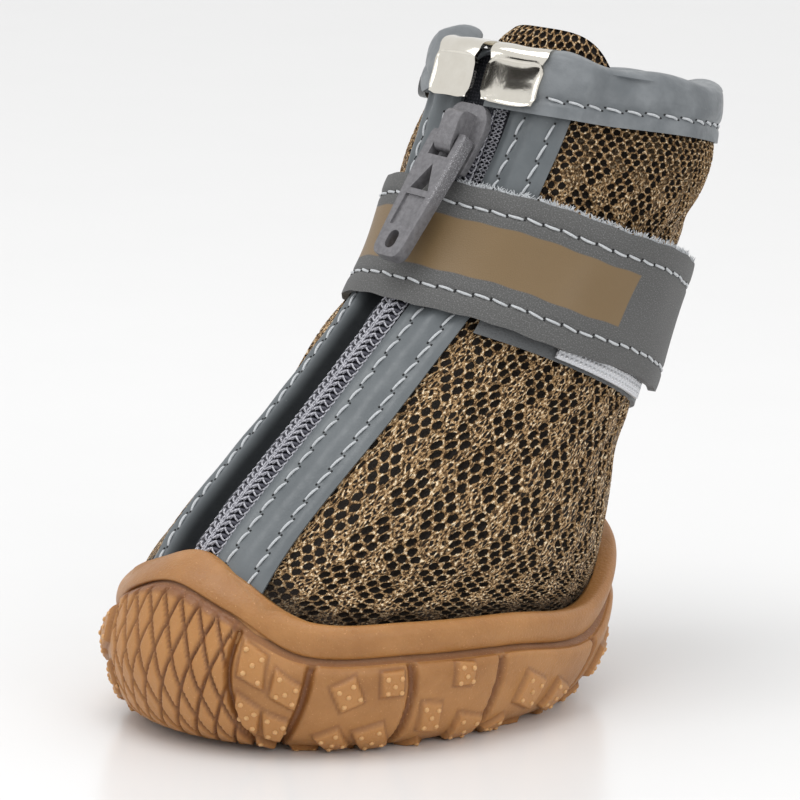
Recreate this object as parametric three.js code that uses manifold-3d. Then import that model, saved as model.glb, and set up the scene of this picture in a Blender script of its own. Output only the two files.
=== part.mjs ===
// Zip-front dog boot: a rubber cup sole, a hollow mesh shaft and its hardware.
// Units are millimetres, +Z is up, the toe points to -Y and the wearer's left is +X.
// The origin is the middle of the tread's flat face.
import * as THREE from 'three';
import { mergeVertices } from 'three/addons/utils/BufferGeometryUtils.js';
import Module from 'manifold-3d';

const wasm = await Module();
wasm.setup();

// ---------------------------------------------------------------- driving dimensions
const GAP = 0.3; // clearance between touching pieces

// Cup sole.
const SOLE_HALF_LENGTH = 38.5;
const SOLE_HALF_WIDTH = 27.7;
const SOLE_SQUARENESS = 2.05; // exponent of the outline, where 2 is an ellipse
const RIM_BAND = 4.6; // height of the smooth band over the step
const STEP_DEPTH = 0.7; // how far the panels stand out under the band
const WIDEST_HEIGHT = 10.3;
const UNDERCUT = 7.9; // how far the tread's edge is in from the outline
const TOE_SPRING = 1.3;
const HEEL_SPRING = 4.4;
const SPRING_START = 0.25; // part of the half length where the springs begin
const SPRING_AT_WIDEST = 0.7; // part of the spring that the widest line follows
const EDGE_ROUND = 0.9; // how far the rim's top edge is rounded in
const LIP = 6.0; // width of the rim's flat top before the cup is cut out of it
const TOE_ROOM = 1.9; // how much deeper the cup is where it takes the facings and the chain

// The rim round the outline. at: degrees from the toe (-90) over the side (0) to the heel (90),
// height: top of the rim, lean: how far the top leans in, tuck: how far the step is in.
const RIM = [
  { at: -90, height: 25.0, lean: 6.5, tuck: 2.8 },
  { at: -70, height: 22.3, lean: 4.6, tuck: 2.1 },
  { at: -50, height: 17.9, lean: 1.6, tuck: 1.1 },
  { at: -25, height: 17.3, lean: 0.5, tuck: 0.8 },
  { at: 0, height: 16.4, lean: 0.4, tuck: 0.8 },
  { at: 30, height: 14.5, lean: -0.2, tuck: 0.8 },
  { at: 60, height: 20.0, lean: -1.0, tuck: 0.8 },
  { at: 90, height: 22.8, lean: -1.2, tuck: 0.8 },
];

// The sole's side from the tread to its widest line. inset: part of UNDERCUT, up: part of
// WIDEST_HEIGHT, spring: part of the toe's and heel's spring that is added.
const SOLE_SIDE = [
  { inset: 1.4, up: 0, spring: 0 },
  { inset: 1, up: 0, spring: 0.6 },
  { inset: 0.55, up: 0.1, spring: 0.85 },
  { inset: 0.22, up: 0.36, spring: 1 },
];

// Level sections of the shaft. at: place along the shaft, z and y: centre, depth and width:
// half sizes from back to front and across, tilt: degrees that the front is raised.
const SHAFT = [
  { at: 0, z: 5.3, y: 0.0, depth: 31.0, width: 20.6, tilt: 0 },
  { at: 1, z: 14.0, y: 0.2, depth: 35.2, width: 24.8, tilt: 1 },
  { at: 2, z: 22.0, y: 4.6, depth: 32.3, width: 24.9, tilt: 6.5 },
  { at: 3, z: 38.0, y: 17.9, depth: 24.9, width: 20.1, tilt: 10.5 },
  { at: 4, z: 53.0, y: 28.2, depth: 19.4, width: 18.5, tilt: 11.7 },
  { at: 5, z: 68.0, y: 35.5, depth: 18.0, width: 21.4, tilt: 11.8 },
  { at: 6, z: 81.3, y: 40.4, depth: 17.9, width: 18.8, tilt: 11.1 },
];
const COLLAR = 6; // place of the collar's edge
const MM_PER_STEP = 14.3; // length of the shaft from place 5 to place 6
const WALL = 2.0; // spacer mesh with its lining

// The zip's opening. at: place along the shaft, half: half width between the facings.
const OPENING = [
  { at: 1.5, half: 2.0 },
  { at: 3.2, half: 2.0 },
  { at: 3.8, half: 2.4 },
  { at: 4.6, half: 3.4 },
  { at: 5.4, half: 4.2 },
  { at: 6.3, half: 4.4 },
];
const DRIFT = 1.5; // how far the zip wanders to the wearer's left at the collar
const DRIFT_FROM = 3.3;
const DRIFT_TO = 5.6;
const SLOT_HALF = 5.2;
const ZIP_FOOT = 1.62; // place where zip and facings end inside the toe rim
const TAPE_THICK = 1.0;
const TAPE_HALF = SLOT_HALF - GAP;
const CHAIN_HALF = 1.6;
const CHAIN_LOW = 0.25;
const CHAIN_HIGH = 1.85;
const CHAIN_TOP = 5.42;
const FACING_WIDE = 8.4;
const FACING_THICK = 1.1;
const FACING_TOP = GAP + FACING_THICK;

// Collar binding and its end clips; heights run down from the collar's edge.
const BIND_DROP = 7.0;
const BIND_INNER_DROP = 5.5;
const BIND_THICK = 1.0;
const BIND_ROOM = 0.45; // clearance of the fold, whose facets are shorter than the shaft's
const BIND_TOP = 1.1; // how far its fold stands over the edge
const BIND_END = 1.2; // half gap between its two ends at the zip
const BIND_RAMP = 2.6; // length over which it steps off the facings
const CLIP_SHEET = 0.6;
const CLIP_FROM = 0.8;
const CLIP_TO = 7.9;
const CLIP_DROP = 6.6;
const CLIP_INNER_DROP = 4.2;

// Straps. They lie in planes that fall to the back.
const STRAP_TILT = 24.7;
const STRAP_Y = 9.0;
const STRAP_Z = 62.0;
const OUTER_LOW = -9.3;
const OUTER_HIGH = 8.4;
const BASE_LOW = -11.3;
const BASE_HIGH = 6.8;
const HOOK_LOW = -11.0;
const HOOK_HIGH = 6.2;
const STRAP_THICK = 1.0;
const HOOK_THICK = 0.6;

// Rise of the outer strap's inner face round the shaft. at: degrees, rise: off the upper.
const OUTER_RISE = [
  { at: -190, rise: 1.65 },
  { at: -174, rise: 1.65 },
  { at: -158, rise: 0.4 },
  { at: -138, rise: 0.4 },
  { at: -122, rise: 1.8 },
  { at: -90, rise: 2.2 },
  { at: -64, rise: 1.8 },
  { at: -44, rise: 1.8 },
  { at: -24, rise: 2.7 },
  { at: 20, rise: 2.7 },
  { at: 44, rise: 2.9 },
];
const STRAP_FROM = -190;
const STRAP_TO = 44;
const BASE_FROM = -52;
const BASE_TO = 182;
const HOOK_FROM = -20;
const HOOK_TO = 40;

// Tongue: a curved sheet behind the zip with a domed top.
const TONGUE_IN = 5.6;
const TONGUE_THICK = 2.6;
const TONGUE_HALF_TURN = 66;
const TONGUE_TURN = 6; // degrees that its middle is turned to the wearer's left
const TONGUE_FOOT = 3.5;
const TONGUE_TOP = 5.6;
const TONGUE_DOME = 6.34;

// Insole.
const INSOLE_THICK = 2.0;

// Slider, in its own frame: x across, t up the zip, n out of the shaft.
const SLIDER_AT = 5.1; // place along the shaft
const PLATE_LOW = 2.2;
const PLATE_HIGH = 3.3;
const CROWN_HALF = 1.5;
const CROWN_TOP_T = 3.4;
const CROWN_FOOT_T = -2.7;
const CROWN_HIGH = 6.3;
const CROWN_SINK = 0.4; // how far the crown reaches into the plate
const CROWN_UNDERCUT = 0.6;
const CROWN_ROUND = 1.6;
const CURVE_STEPS = 5;
const PIVOT_T = -1.1;
const PIVOT_N = 4.8;
const PIVOT_HOLE = 0.95;
const PIN_RADIUS = 0.6;

// Pull tab, in its own frame: x along the hinge, d down the tab, m out.
const PULL_DIRECTION = new THREE.Vector3(-0.055, -0.591, -0.805);
const PULL_THICK = 1.9;
const PULL_LENGTH = 18.1;
const ARM_INNER = CROWN_HALF + GAP;
const ARM_OUTER = 3.2;
const ARM_ROUND = 1.1; // radius of the arms' ends over the pin
const FORK_DEPTH = 2.6;

const TURN = 2 * Math.PI;
const ZIP_ANGLE = -Math.PI / 2;
const rad = THREE.MathUtils.degToRad;

// ---------------------------------------------------------------- tables as smooth curves
// Cubic curve through a table's rows, for every column but "at". Past the ends it runs on
// straight, or stays level where flat is true.
function through(table, x, flat = false) {
  const last = table.length - 1;
  const slope = (i, key) => {
    const a = Math.max(i - 1, 0);
    const b = Math.min(i + 1, last);
    if (flat && (i === 0 || i === last)) {
      return 0;
    }
    return (table[b][key] - table[a][key]) / (table[b].at - table[a].at);
  };
  const inside = THREE.MathUtils.clamp(x, table[0].at, table[last].at);
  let i = 0;
  while (i < last - 1 && table[i + 1].at <= inside) {
    i += 1;
  }
  const step = table[i + 1].at - table[i].at;
  const t = (inside - table[i].at) / step;
  const row = {};
  for (const key of Object.keys(table[0])) {
    if (key !== 'at') {
      row[key] =
        table[i][key] * (1 + 2 * t) * (1 - t) ** 2 +
        slope(i, key) * step * t * (1 - t) ** 2 +
        table[i + 1][key] * t * t * (3 - 2 * t) +
        slope(i + 1, key) * step * t * t * (t - 1) +
        slope(x < inside ? 0 : last, key) * (x - inside);
    }
  }
  return row;
}

function spread(from, to, count) {
  return Array.from({ length: count + 1 }, (_, i) => from + ((to - from) * i) / count);
}

// ---------------------------------------------------------------- surface of the upper
// Point of the shaft at a place and an angle, moved out by off. Places past 0 and 6 run on.
function shaft(place, angle, off = 0) {
  const s = through(SHAFT, place);
  const tilt = rad(s.tilt);
  const forward = (s.depth + off) * Math.sin(angle);
  return new THREE.Vector3(
    (s.width + off) * Math.cos(angle),
    s.y + forward * Math.cos(tilt),
    s.z - forward * Math.sin(tilt),
  );
}

function drift(place) {
  return DRIFT * THREE.MathUtils.smoothstep(place, DRIFT_FROM, DRIFT_TO);
}

// Point w mm round the shaft from the zip's middle line.
function beside(place, w, off) {
  const width = through(SHAFT, place).width;
  return shaft(place, ZIP_ANGLE + (w + drift(place)) / width, off);
}

function openingHalf(place) {
  return through(OPENING, place).half;
}

// Place whose surface point at this angle stands level mm above the strap's middle plane.
function placeAtLevel(angle, level, off) {
  const tilt = rad(STRAP_TILT);
  let low = 1;
  let high = 6.5;
  for (let i = 0; i < 40; i += 1) {
    const middle = (low + high) / 2;
    const p = shaft(middle, angle, off);
    const height = (p.y - STRAP_Y) * Math.sin(tilt) + (p.z - STRAP_Z) * Math.cos(tilt);
    if (height < level) {
      low = middle;
    } else {
      high = middle;
    }
  }
  return (low + high) / 2;
}

// ---------------------------------------------------------------- surface of the sole
function outline(angle, inset = 0) {
  const c = Math.cos(angle);
  const s = Math.sin(angle);
  const sum = Math.abs(c) ** SOLE_SQUARENESS + Math.abs(s) ** SOLE_SQUARENESS;
  const reach = sum ** (-1 / SOLE_SQUARENESS);
  const p = new THREE.Vector2(SOLE_HALF_WIDTH * c * reach, SOLE_HALF_LENGTH * s * reach);
  return p.multiplyScalar(1 - inset / p.length());
}

function rimAt(angle) {
  const around = THREE.MathUtils.radToDeg(Math.asin(THREE.MathUtils.clamp(Math.sin(angle), -1, 1)));
  return through(RIM, around, true);
}

function springAt(y) {
  const run = 1 - SPRING_START;
  const toe = Math.max((-y / SOLE_HALF_LENGTH - SPRING_START) / run, 0);
  const heel = Math.max((y / SOLE_HALF_LENGTH - SPRING_START) / run, 0);
  return TOE_SPRING * toe ** 2 + HEEL_SPRING * heel ** 2;
}

// Rings of the sole's outer form from the tread to the rim's top, as inset and height.
function soleProfile(angle) {
  const rim = rimAt(angle);
  const spring = springAt(outline(angle).y);
  const step = rim.height - RIM_BAND;
  const widest = Math.min(WIDEST_HEIGHT + SPRING_AT_WIDEST * spring, step - 1.5);
  const inner = Math.max(rim.lean, 0.4);
  const side = SOLE_SIDE.map((ring) => ({
    inset: UNDERCUT * ring.inset,
    z: WIDEST_HEIGHT * ring.up + spring * ring.spring,
  }));
  return [
    ...side,
    { inset: 0, z: widest },
    { inset: rim.tuck * 0.6, z: step - 0.5 },
    { inset: rim.tuck + STEP_DEPTH, z: step },
    { inset: rim.tuck * 0.7 + rim.lean * 0.3, z: step + 0.8 },
    { inset: rim.lean, z: rim.height - 1.2 },
    { inset: rim.lean + EDGE_ROUND, z: rim.height },
    { inset: inner + LIP, z: rim.height - 0.2 },
  ];
}

// ---------------------------------------------------------------- solids
// Joins rings of equal length into a closed solid. The profile gives the rings' shape in two
// coordinates, for the end caps.
function loft(rings, profile) {
  const count = rings[0].length;
  const points = rings.flat();
  const faces = [];
  for (let i = 0; i < rings.length - 1; i += 1) {
    for (let j = 0; j < count; j += 1) {
      const a = i * count + j;
      const b = i * count + ((j + 1) % count);
      faces.push([a, b, b + count]);
      faces.push([a, b + count, a + count]);
    }
  }
  const turn = Math.sign(THREE.ShapeUtils.area(profile));
  const top = (rings.length - 1) * count;
  for (const [a, b, c] of THREE.ShapeUtils.triangulateShape(profile, [])) {
    const same = Math.sign(THREE.ShapeUtils.area([profile[a], profile[b], profile[c]])) === turn;
    faces.push(same ? [c, b, a] : [a, b, c]);
    faces.push(same ? [top + a, top + b, top + c] : [top + c, top + b, top + a]);
  }
  let volume = 0;
  const cross = new THREE.Vector3();
  for (const [a, b, c] of faces) {
    volume += points[a].dot(cross.crossVectors(points[b], points[c]));
  }
  const geometry = new THREE.BufferGeometry();
  const numbers = points.flatMap((p) => p.toArray());
  geometry.setAttribute('position', new THREE.Float32BufferAttribute(numbers, 3));
  geometry.setIndex((volume < 0 ? faces.map((f) => [...f].reverse()) : faces).flat());
  return toSolid(geometry);
}

function toSolid(geometry) {
  const bare = geometry.clone();
  bare.deleteAttribute('normal');
  bare.deleteAttribute('uv');
  const merged = mergeVertices(bare, 1e-4);
  return new wasm.Manifold(
    new wasm.Mesh({
      numProp: 3,
      vertProperties: new Float32Array(merged.attributes.position.array),
      triVerts: new Uint32Array(merged.index.array),
    }),
  );
}

function toGeometry(solid) {
  const mesh = solid.getMesh();
  const numbers = new Float32Array(mesh.vertProperties);
  const geometry = new THREE.BufferGeometry();
  geometry.setAttribute('position', new THREE.BufferAttribute(numbers, 3));
  geometry.setIndex(new THREE.BufferAttribute(new Uint32Array(mesh.triVerts), 1));
  geometry.computeVertexNormals();
  return geometry;
}

function extruded(shape, depth, segments = 6) {
  return new THREE.ExtrudeGeometry(shape, { depth, bevelEnabled: false, curveSegments: segments });
}

const flatten = (ring) => ring.map((p) => new THREE.Vector2(p.x, p.y));

// A form whose level rings follow the shaft, off(angle) mm out of its surface.
function shaftForm(places, off, around) {
  const angles = spread(0, TURN, around).slice(0, -1);
  const rings = places.map((place) => angles.map((angle) => shaft(place, angle, off(angle))));
  return loft(rings, flatten(rings[0]));
}

// A strip along the zip. edges(place) gives its two edges in mm from the zip's middle line.
function zipStrip(places, edges, low, high, across = 3) {
  const profile = [];
  const corners = [];
  for (const t of spread(0, 1, across)) {
    corners.push([t, low]);
  }
  for (const t of spread(1, 0, across)) {
    corners.push([t, high]);
  }
  for (const [t, off] of corners) {
    profile.push(new THREE.Vector2(t * 10, off));
  }
  const rings = places.map((place) => {
    const [from, to] = edges(place);
    return corners.map(([t, off]) => beside(place, from + (to - from) * t, off));
  });
  return loft(rings, profile);
}

// A band round the shaft between two levels of the strap's planes.
function strapBand(fromDegrees, toDegrees, steps, low, high, rise, thick) {
  const corners = [];
  for (const t of spread(0, 1, 2)) {
    corners.push([t, 0]);
  }
  for (const t of spread(1, 0, 2)) {
    corners.push([t, thick]);
  }
  const profile = corners.map(([t, off]) => new THREE.Vector2(t * (high - low), off));
  const rings = spread(fromDegrees, toDegrees, steps).map((degrees) => {
    const angle = rad(degrees);
    const base = rise(degrees);
    const bottom = placeAtLevel(angle, low, base);
    const top = placeAtLevel(angle, high, base);
    return corners.map(([t, off]) => shaft(bottom + (top - bottom) * t, angle, base + off));
  });
  return loft(rings, profile);
}

// A folded section over the collar's edge, carried round the collar. corners(w) gives it as
// [drop below the edge, off the surface].
function collarFold(ws, corners) {
  const point = (w, drop, off) => beside(COLLAR - drop / MM_PER_STEP, w, off);
  const rings = ws.map((w) => corners(w).map(([drop, off]) => point(w, drop, off)));
  const profile = corners(ws[0]).map(([drop, off]) => new THREE.Vector2(drop, off));
  return loft(rings, profile);
}

// ---------------------------------------------------------------- sole
const SOLE_AROUND = 42;

function outsoleForm() {
  const angles = spread(0, TURN, SOLE_AROUND).slice(0, -1);
  const profiles = angles.map(soleProfile);
  const rings = profiles[0].map((_, level) =>
    angles.map((angle, i) => {
      const p = outline(angle, profiles[i][level].inset);
      return new THREE.Vector3(p.x, p.y, profiles[i][level].z);
    }),
  );
  return loft(rings, flatten(rings[0]));
}

// Frame that stands on the sole's side: origin on the surface, z out, y up the side.
function sideFrame(angle, up) {
  const profile = soleProfile(angle).slice(2, 6);
  const at = THREE.MathUtils.clamp(up, 0, 0.999) * (profile.length - 1);
  const i = Math.floor(at);
  const lift = (row, turn) => {
    const p = outline(turn, row.inset);
    return new THREE.Vector3(p.x, p.y, row.z);
  };
  const low = lift(profile[i], angle);
  const high = lift(profile[i + 1], angle);
  const point = low.clone().lerp(high, at - i);
  const rise = high.clone().sub(low).normalize();
  const nudge = 0.02;
  const along = lift(profile[i], angle + nudge).sub(lift(profile[i], angle - nudge)).normalize();
  const out = along.clone().cross(rise).normalize();
  const frame = new THREE.Matrix4().makeBasis(rise.clone().cross(out), rise, out);
  return frame.setPosition(point);
}

// A raised block of the side tread, turned in the surface.
const BLOCK_PROUD = 0.5;
const BLOCK_SINK = 1.6;

function sideBlock(angle, up, wide, tall, turn) {
  const block = new THREE.BoxGeometry(wide, tall, BLOCK_PROUD + BLOCK_SINK);
  block.translate(0, 0, (BLOCK_PROUD - BLOCK_SINK) / 2);
  block.rotateZ(rad(turn));
  block.applyMatrix4(sideFrame(angle, up));
  return toSolid(block);
}

// Curved grooves between the side panels. top, middle, foot: degrees round one side at those
// heights of a groove.
const SIDE_GROOVES = [
  { top: -66, middle: -67.5, foot: -60 },
  { top: -48, middle: -52, foot: -61 },
  { top: -26, middle: -26.5, foot: -34 },
  { top: -3.5, middle: -5, foot: -10 },
  { top: 30, middle: 27, foot: 21 },
  { top: 60, middle: 57, foot: 51 },
];
const GROOVE_WIDE = 1.1;
const GROOVE_DEEP = 0.8;
const GROOVE_NARROWING = 0.6; // width of a groove's floor as a part of its mouth
const GROOVE_REACH = 1.5; // how far a groove's cutter stands out of the side

// Main blocks of the side panels. at: degrees round one side, up: part of the side's height,
// wide and tall: size, turn: degrees.
const SIDE_BLOCKS = [
  { at: -61.7, up: 0.82, wide: 3.4, tall: 3.8, turn: -6 },
  { at: -53.8, up: 0.74, wide: 3.6, tall: 3.6, turn: -16 },
  { at: -63.6, up: 0.46, wide: 3.2, tall: 3.6, turn: -18 },
  { at: -57.0, up: 0.4, wide: 3.4, tall: 3.6, turn: -8 },
  { at: -40, up: 0.76, wide: 3.7, tall: 3.6, turn: 22 },
  { at: -30.2, up: 0.83, wide: 3.3, tall: 3.1, turn: 2 },
  { at: -44, up: 0.31, wide: 4.0, tall: 3.8, turn: 24 },
  { at: -34.5, up: 0.33, wide: 4.7, tall: 4.3, turn: 15 },
  { at: -21, up: 0.52, wide: 3.3, tall: 4.1, turn: -4 },
  { at: -11, up: 0.34, wide: 4.8, tall: 4.8, turn: -12 },
  { at: 6, up: 0.62, wide: 4.6, tall: 4.8, turn: -20 },
  { at: 17, up: 0.5, wide: 4.4, tall: 4.8, turn: -24 },
  { at: 38, up: 0.6, wide: 4.6, tall: 4.6, turn: -20 },
  { at: 51, up: 0.45, wide: 4.4, tall: 4.4, turn: 18 },
];

// Angle of a groove at a height: a parabola through its three angles.
function grooveAngle(groove, up) {
  const foot = 2 * (up - 0.5) * (up - 1) * groove.foot;
  const middle = 4 * up * (1 - up) * groove.middle;
  const top = 2 * up * (up - 0.5) * groove.top;
  return rad(foot + middle + top);
}

function grooveCutter(groove, side) {
  const half = GROOVE_WIDE / 2;
  const floor = half * GROOVE_NARROWING;
  const profile = [
    new THREE.Vector2(-half, GROOVE_REACH),
    new THREE.Vector2(half, GROOVE_REACH),
    new THREE.Vector2(floor, -GROOVE_DEEP),
    new THREE.Vector2(-floor, -GROOVE_DEEP),
  ];
  const rings = spread(-0.02, 0.995, 5).map((up) => {
    const turn = grooveAngle(groove, up);
    const frame = sideFrame(side > 0 ? turn : Math.PI - turn, up);
    return profile.map((p) => new THREE.Vector3(p.x, 0, p.y).applyMatrix4(frame));
  });
  return loft(rings, profile);
}

// Scales of the toe patch: elongated diamonds in staggered columns.
const SCALE_COLUMNS = 7;
const SCALE_ROWS = 4;
const SCALE_TALL = 4.8;
const SCALE_WIDE = 2.6;
const SCALE_PITCH = 5.6; // degrees from column to column
const SCALE_FOOT = 0.12; // height of the lowest row, as a part of the side's height
const SCALE_RISE = 0.215; // from row to row, as a part of the side's height
const SCALE_PROUD = 0.6;

function toeScale(column, row) {
  const angle = ZIP_ANGLE + rad((column - (SCALE_COLUMNS - 1) / 2) * SCALE_PITCH);
  const up = SCALE_FOOT + (row + (column % 2 === 0 ? 0 : 0.5)) * SCALE_RISE;
  const diamond = new THREE.Shape();
  diamond.moveTo(0, -SCALE_TALL / 2);
  diamond.lineTo(SCALE_WIDE / 2, 0);
  diamond.lineTo(0, SCALE_TALL / 2);
  diamond.lineTo(-SCALE_WIDE / 2, 0);
  const scale = extruded(diamond, SCALE_PROUD + BLOCK_SINK);
  scale.translate(0, 0, -BLOCK_SINK);
  scale.applyMatrix4(sideFrame(angle, up));
  return toSolid(scale);
}

// Cross grooves of the flat tread.
const TREAD_GROOVES = [-23, -13.5, 6.5, 15.5, 24];
const TREAD_GROOVE_WIDE = 1.8;
const TREAD_GROOVE_DEEP = 1.1;

function outsole() {
  let solid = outsoleForm();
  for (const side of [1, -1]) {
    for (const block of SIDE_BLOCKS) {
      const turn = rad(block.at);
      const angle = side > 0 ? turn : Math.PI - turn;
      solid = solid.add(sideBlock(angle, block.up, block.wide, block.tall, side * block.turn));
    }
    for (const groove of SIDE_GROOVES) {
      solid = solid.subtract(grooveCutter(groove, side));
    }
  }
  for (let column = 0; column < SCALE_COLUMNS; column += 1) {
    for (let row = 0; row < SCALE_ROWS; row += 1) {
      solid = solid.add(toeScale(column, row));
    }
  }
  const underside = new THREE.BoxGeometry(200, 200, 20);
  underside.translate(0, 0, -10);
  solid = solid.subtract(toSolid(underside));
  for (const y of TREAD_GROOVES) {
    const groove = new THREE.BoxGeometry(120, TREAD_GROOVE_WIDE, 2 * TREAD_GROOVE_DEEP);
    groove.translate(0, y, 0);
    solid = solid.subtract(toSolid(groove));
  }
  const cup = shaftForm([-0.05, 0.5, 1, 1.4, 1.8, 2.2, 2.6], cupRoom, SOLE_AROUND);
  return solid.subtract(cup);
}

// Clearance of the cup round the upper, with room for the facings and the chain at the toe.
function cupRoom(angle) {
  const edge = openingHalf(ZIP_FOOT) + FACING_WIDE;
  const w = Math.abs(Math.atan2(Math.cos(angle), -Math.sin(angle))) * SHAFT[2].width;
  return GAP + TOE_ROOM * (1 - THREE.MathUtils.smoothstep(w, edge + 0.8, edge + 6));
}

function insole() {
  const inside = -WALL - GAP;
  const top = INSOLE_THICK / (SHAFT[1].z - SHAFT[0].z);
  return shaftForm([0, top / 2, top], () => inside, 32);
}

// ---------------------------------------------------------------- upper and tongue
const UPPER_AROUND = 34;

function upper() {
  const between = [0.5, 1, 1.4, 1.8, 2.2, 2.7, 3.2, 3.7, 4.2, 4.8, 5.4];
  const outer = shaftForm([0, ...between, COLLAR], () => 0, UPPER_AROUND);
  const inner = shaftForm([-0.2, ...between, COLLAR + 0.2], () => -WALL, UPPER_AROUND);
  const slot = zipStrip(spread(ZIP_FOOT, 6.3, 12), () => [-SLOT_HALF, SLOT_HALF], -4, 3, 4);
  return outer.subtract(inner).subtract(slot);
}

// Height of the tongue's top across its width, where v runs from -1 to 1.
function tongueTop(v) {
  return TONGUE_TOP + (TONGUE_DOME - TONGUE_TOP) * (1 - Math.abs(v) ** 3.2);
}

function tongue() {
  const columns = spread(-1, 1, 14);
  const corners = [];
  for (const t of [0, 0.3, 0.6, 0.85, 0.97]) {
    corners.push([t, 0]);
  }
  corners.push([1, 0.5]);
  for (const t of [0.97, 0.85, 0.6, 0.3, 0]) {
    corners.push([t, 1]);
  }
  const profile = corners.map(([t, across]) => new THREE.Vector2(t * 40, across * TONGUE_THICK));
  const rings = columns.map((v) =>
    corners.map(([t, across]) => {
      const place = TONGUE_FOOT + (tongueTop(v) - TONGUE_FOOT) * t;
      const thin = 1 - 0.55 * v ** 6;
      const off = -TONGUE_IN - TONGUE_THICK / 2 + (0.5 - across) * TONGUE_THICK * thin;
      return shaft(place, ZIP_ANGLE + rad(TONGUE_TURN + v * TONGUE_HALF_TURN), off);
    }),
  );
  return loft(rings, profile);
}

// ---------------------------------------------------------------- zip
const ZIP_STEPS = 17;

function facing(side) {
  const edges = (place) => {
    const half = openingHalf(place);
    return side > 0 ? [half, half + FACING_WIDE] : [-half - FACING_WIDE, -half];
  };
  return zipStrip(spread(ZIP_FOOT, COLLAR, ZIP_STEPS), edges, GAP, FACING_TOP);
}

function zipTape() {
  const edges = () => [-TAPE_HALF, TAPE_HALF];
  return zipStrip(spread(ZIP_FOOT + 0.03, COLLAR, ZIP_STEPS), edges, -TAPE_THICK - 0.1, -0.1, 4);
}

function zipChain() {
  const edges = () => [-CHAIN_HALF, CHAIN_HALF];
  return zipStrip(spread(ZIP_FOOT + 0.03, CHAIN_TOP, ZIP_STEPS), edges, CHAIN_LOW, CHAIN_HIGH, 2);
}

// The slider's frame on the zip's middle line: x across, y up the zip, z out.
function sliderFrame() {
  const step = 0.2;
  const point = beside(SLIDER_AT, 0, 0);
  const up = beside(SLIDER_AT + step, 0, 0).sub(beside(SLIDER_AT - step, 0, 0)).normalize();
  const across = new THREE.Vector3(1, 0, 0).addScaledVector(up, -up.x).normalize();
  const frame = new THREE.Matrix4().makeBasis(across, up, across.clone().cross(up));
  return frame.setPosition(point);
}

// Plate of the slider, half outline. x: across, t: up the zip; bends are the curves' handles.
const PLATE_FOOT = { x: 2.3, t: -4.8 };
const PLATE_FOOT_BEND = { x: 2.9, t: -2.6 };
const PLATE_WIDEST = { x: 3.7, t: 1.6 };
const PLATE_TOP_BEND = { x: 3.6, t: 4.2 };
const PLATE_TOP = { x: 1.9, t: 4.9 };

function sliderPlate() {
  const plate = new THREE.Shape();
  plate.moveTo(-PLATE_FOOT.x, PLATE_FOOT.t);
  plate.lineTo(PLATE_FOOT.x, PLATE_FOOT.t);
  plate.quadraticCurveTo(PLATE_FOOT_BEND.x, PLATE_FOOT_BEND.t, PLATE_WIDEST.x, PLATE_WIDEST.t);
  plate.quadraticCurveTo(PLATE_TOP_BEND.x, PLATE_TOP_BEND.t, PLATE_TOP.x, PLATE_TOP.t);
  plate.lineTo(-PLATE_TOP.x, PLATE_TOP.t);
  plate.quadraticCurveTo(-PLATE_TOP_BEND.x, PLATE_TOP_BEND.t, -PLATE_WIDEST.x, PLATE_WIDEST.t);
  plate.quadraticCurveTo(-PLATE_FOOT_BEND.x, PLATE_FOOT_BEND.t, -PLATE_FOOT.x, PLATE_FOOT.t);
  const geometry = extruded(plate, PLATE_HIGH - PLATE_LOW, CURVE_STEPS);
  geometry.translate(0, 0, PLATE_LOW);
  return toSolid(geometry);
}

// The crown over the plate, drawn from the side, with a hole for the pull's pin.
function sliderCrown() {
  const foot = PLATE_HIGH - CROWN_SINK;
  const crown = new THREE.Shape();
  crown.moveTo(CROWN_FOOT_T + CROWN_UNDERCUT, foot);
  crown.lineTo(CROWN_TOP_T, foot);
  crown.lineTo(CROWN_TOP_T, PIVOT_N);
  crown.quadraticCurveTo(CROWN_TOP_T, CROWN_HIGH, CROWN_TOP_T - CROWN_ROUND, CROWN_HIGH);
  crown.lineTo(CROWN_FOOT_T + CROWN_ROUND, CROWN_HIGH);
  crown.quadraticCurveTo(CROWN_FOOT_T, CROWN_HIGH, CROWN_FOOT_T, PIVOT_N);
  const hole = new THREE.Path();
  hole.absarc(PIVOT_T, PIVOT_N, PIVOT_HOLE, 0, TURN, true);
  crown.holes.push(hole);
  const geometry = extruded(crown, 2 * CROWN_HALF, CURVE_STEPS);
  geometry.translate(0, 0, -CROWN_HALF);
  const sideways = new THREE.Matrix4().set(0, 0, 1, 0, 1, 0, 0, 0, 0, 1, 0, 0, 0, 0, 0, 1);
  geometry.applyMatrix4(sideways);
  return toSolid(geometry);
}

function zipSlider() {
  const geometry = toGeometry(sliderPlate().add(sliderCrown()));
  geometry.applyMatrix4(sliderFrame());
  return toSolid(geometry);
}

// The pull's frame: x along the hinge, y down the tab, z towards the shaft.
function pullFrame() {
  const frame = sliderFrame();
  const pivot = new THREE.Vector3(0, PIVOT_T, PIVOT_N).applyMatrix4(frame);
  const down = PULL_DIRECTION.clone().normalize();
  const across = new THREE.Vector3(1, 0, 0).addScaledVector(down, -down.x).normalize();
  return new THREE.Matrix4().makeBasis(across, down, across.clone().cross(down)).setPosition(pivot);
}

// Right half of the pull's outline. x: across, d: down the tab.
const PULL_EDGE = [
  { x: ARM_OUTER, d: 0 },
  { x: 3.15, d: 5 },
  { x: 2.85, d: 11 },
  { x: 2.5, d: 16.2 },
];
const PULL_END_HALF = 1.2;
const EYE_TOP = 3.9; // the triangular eye: its tip, its base and half its base's width
const EYE_FOOT = 7.9;
const EYE_HALF = 1.65;
const RECESS_WIDE = 3.6;
const RECESS_FROM = 8.8;
const RECESS_TO = 13.5;
const RECESS_DEEP = 0.4;
const SLOT_WIDE = 1.7;
const SLOT_FROM = 15.1; // middles of the slot's two round ends
const SLOT_TO = 16.1;

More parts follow.
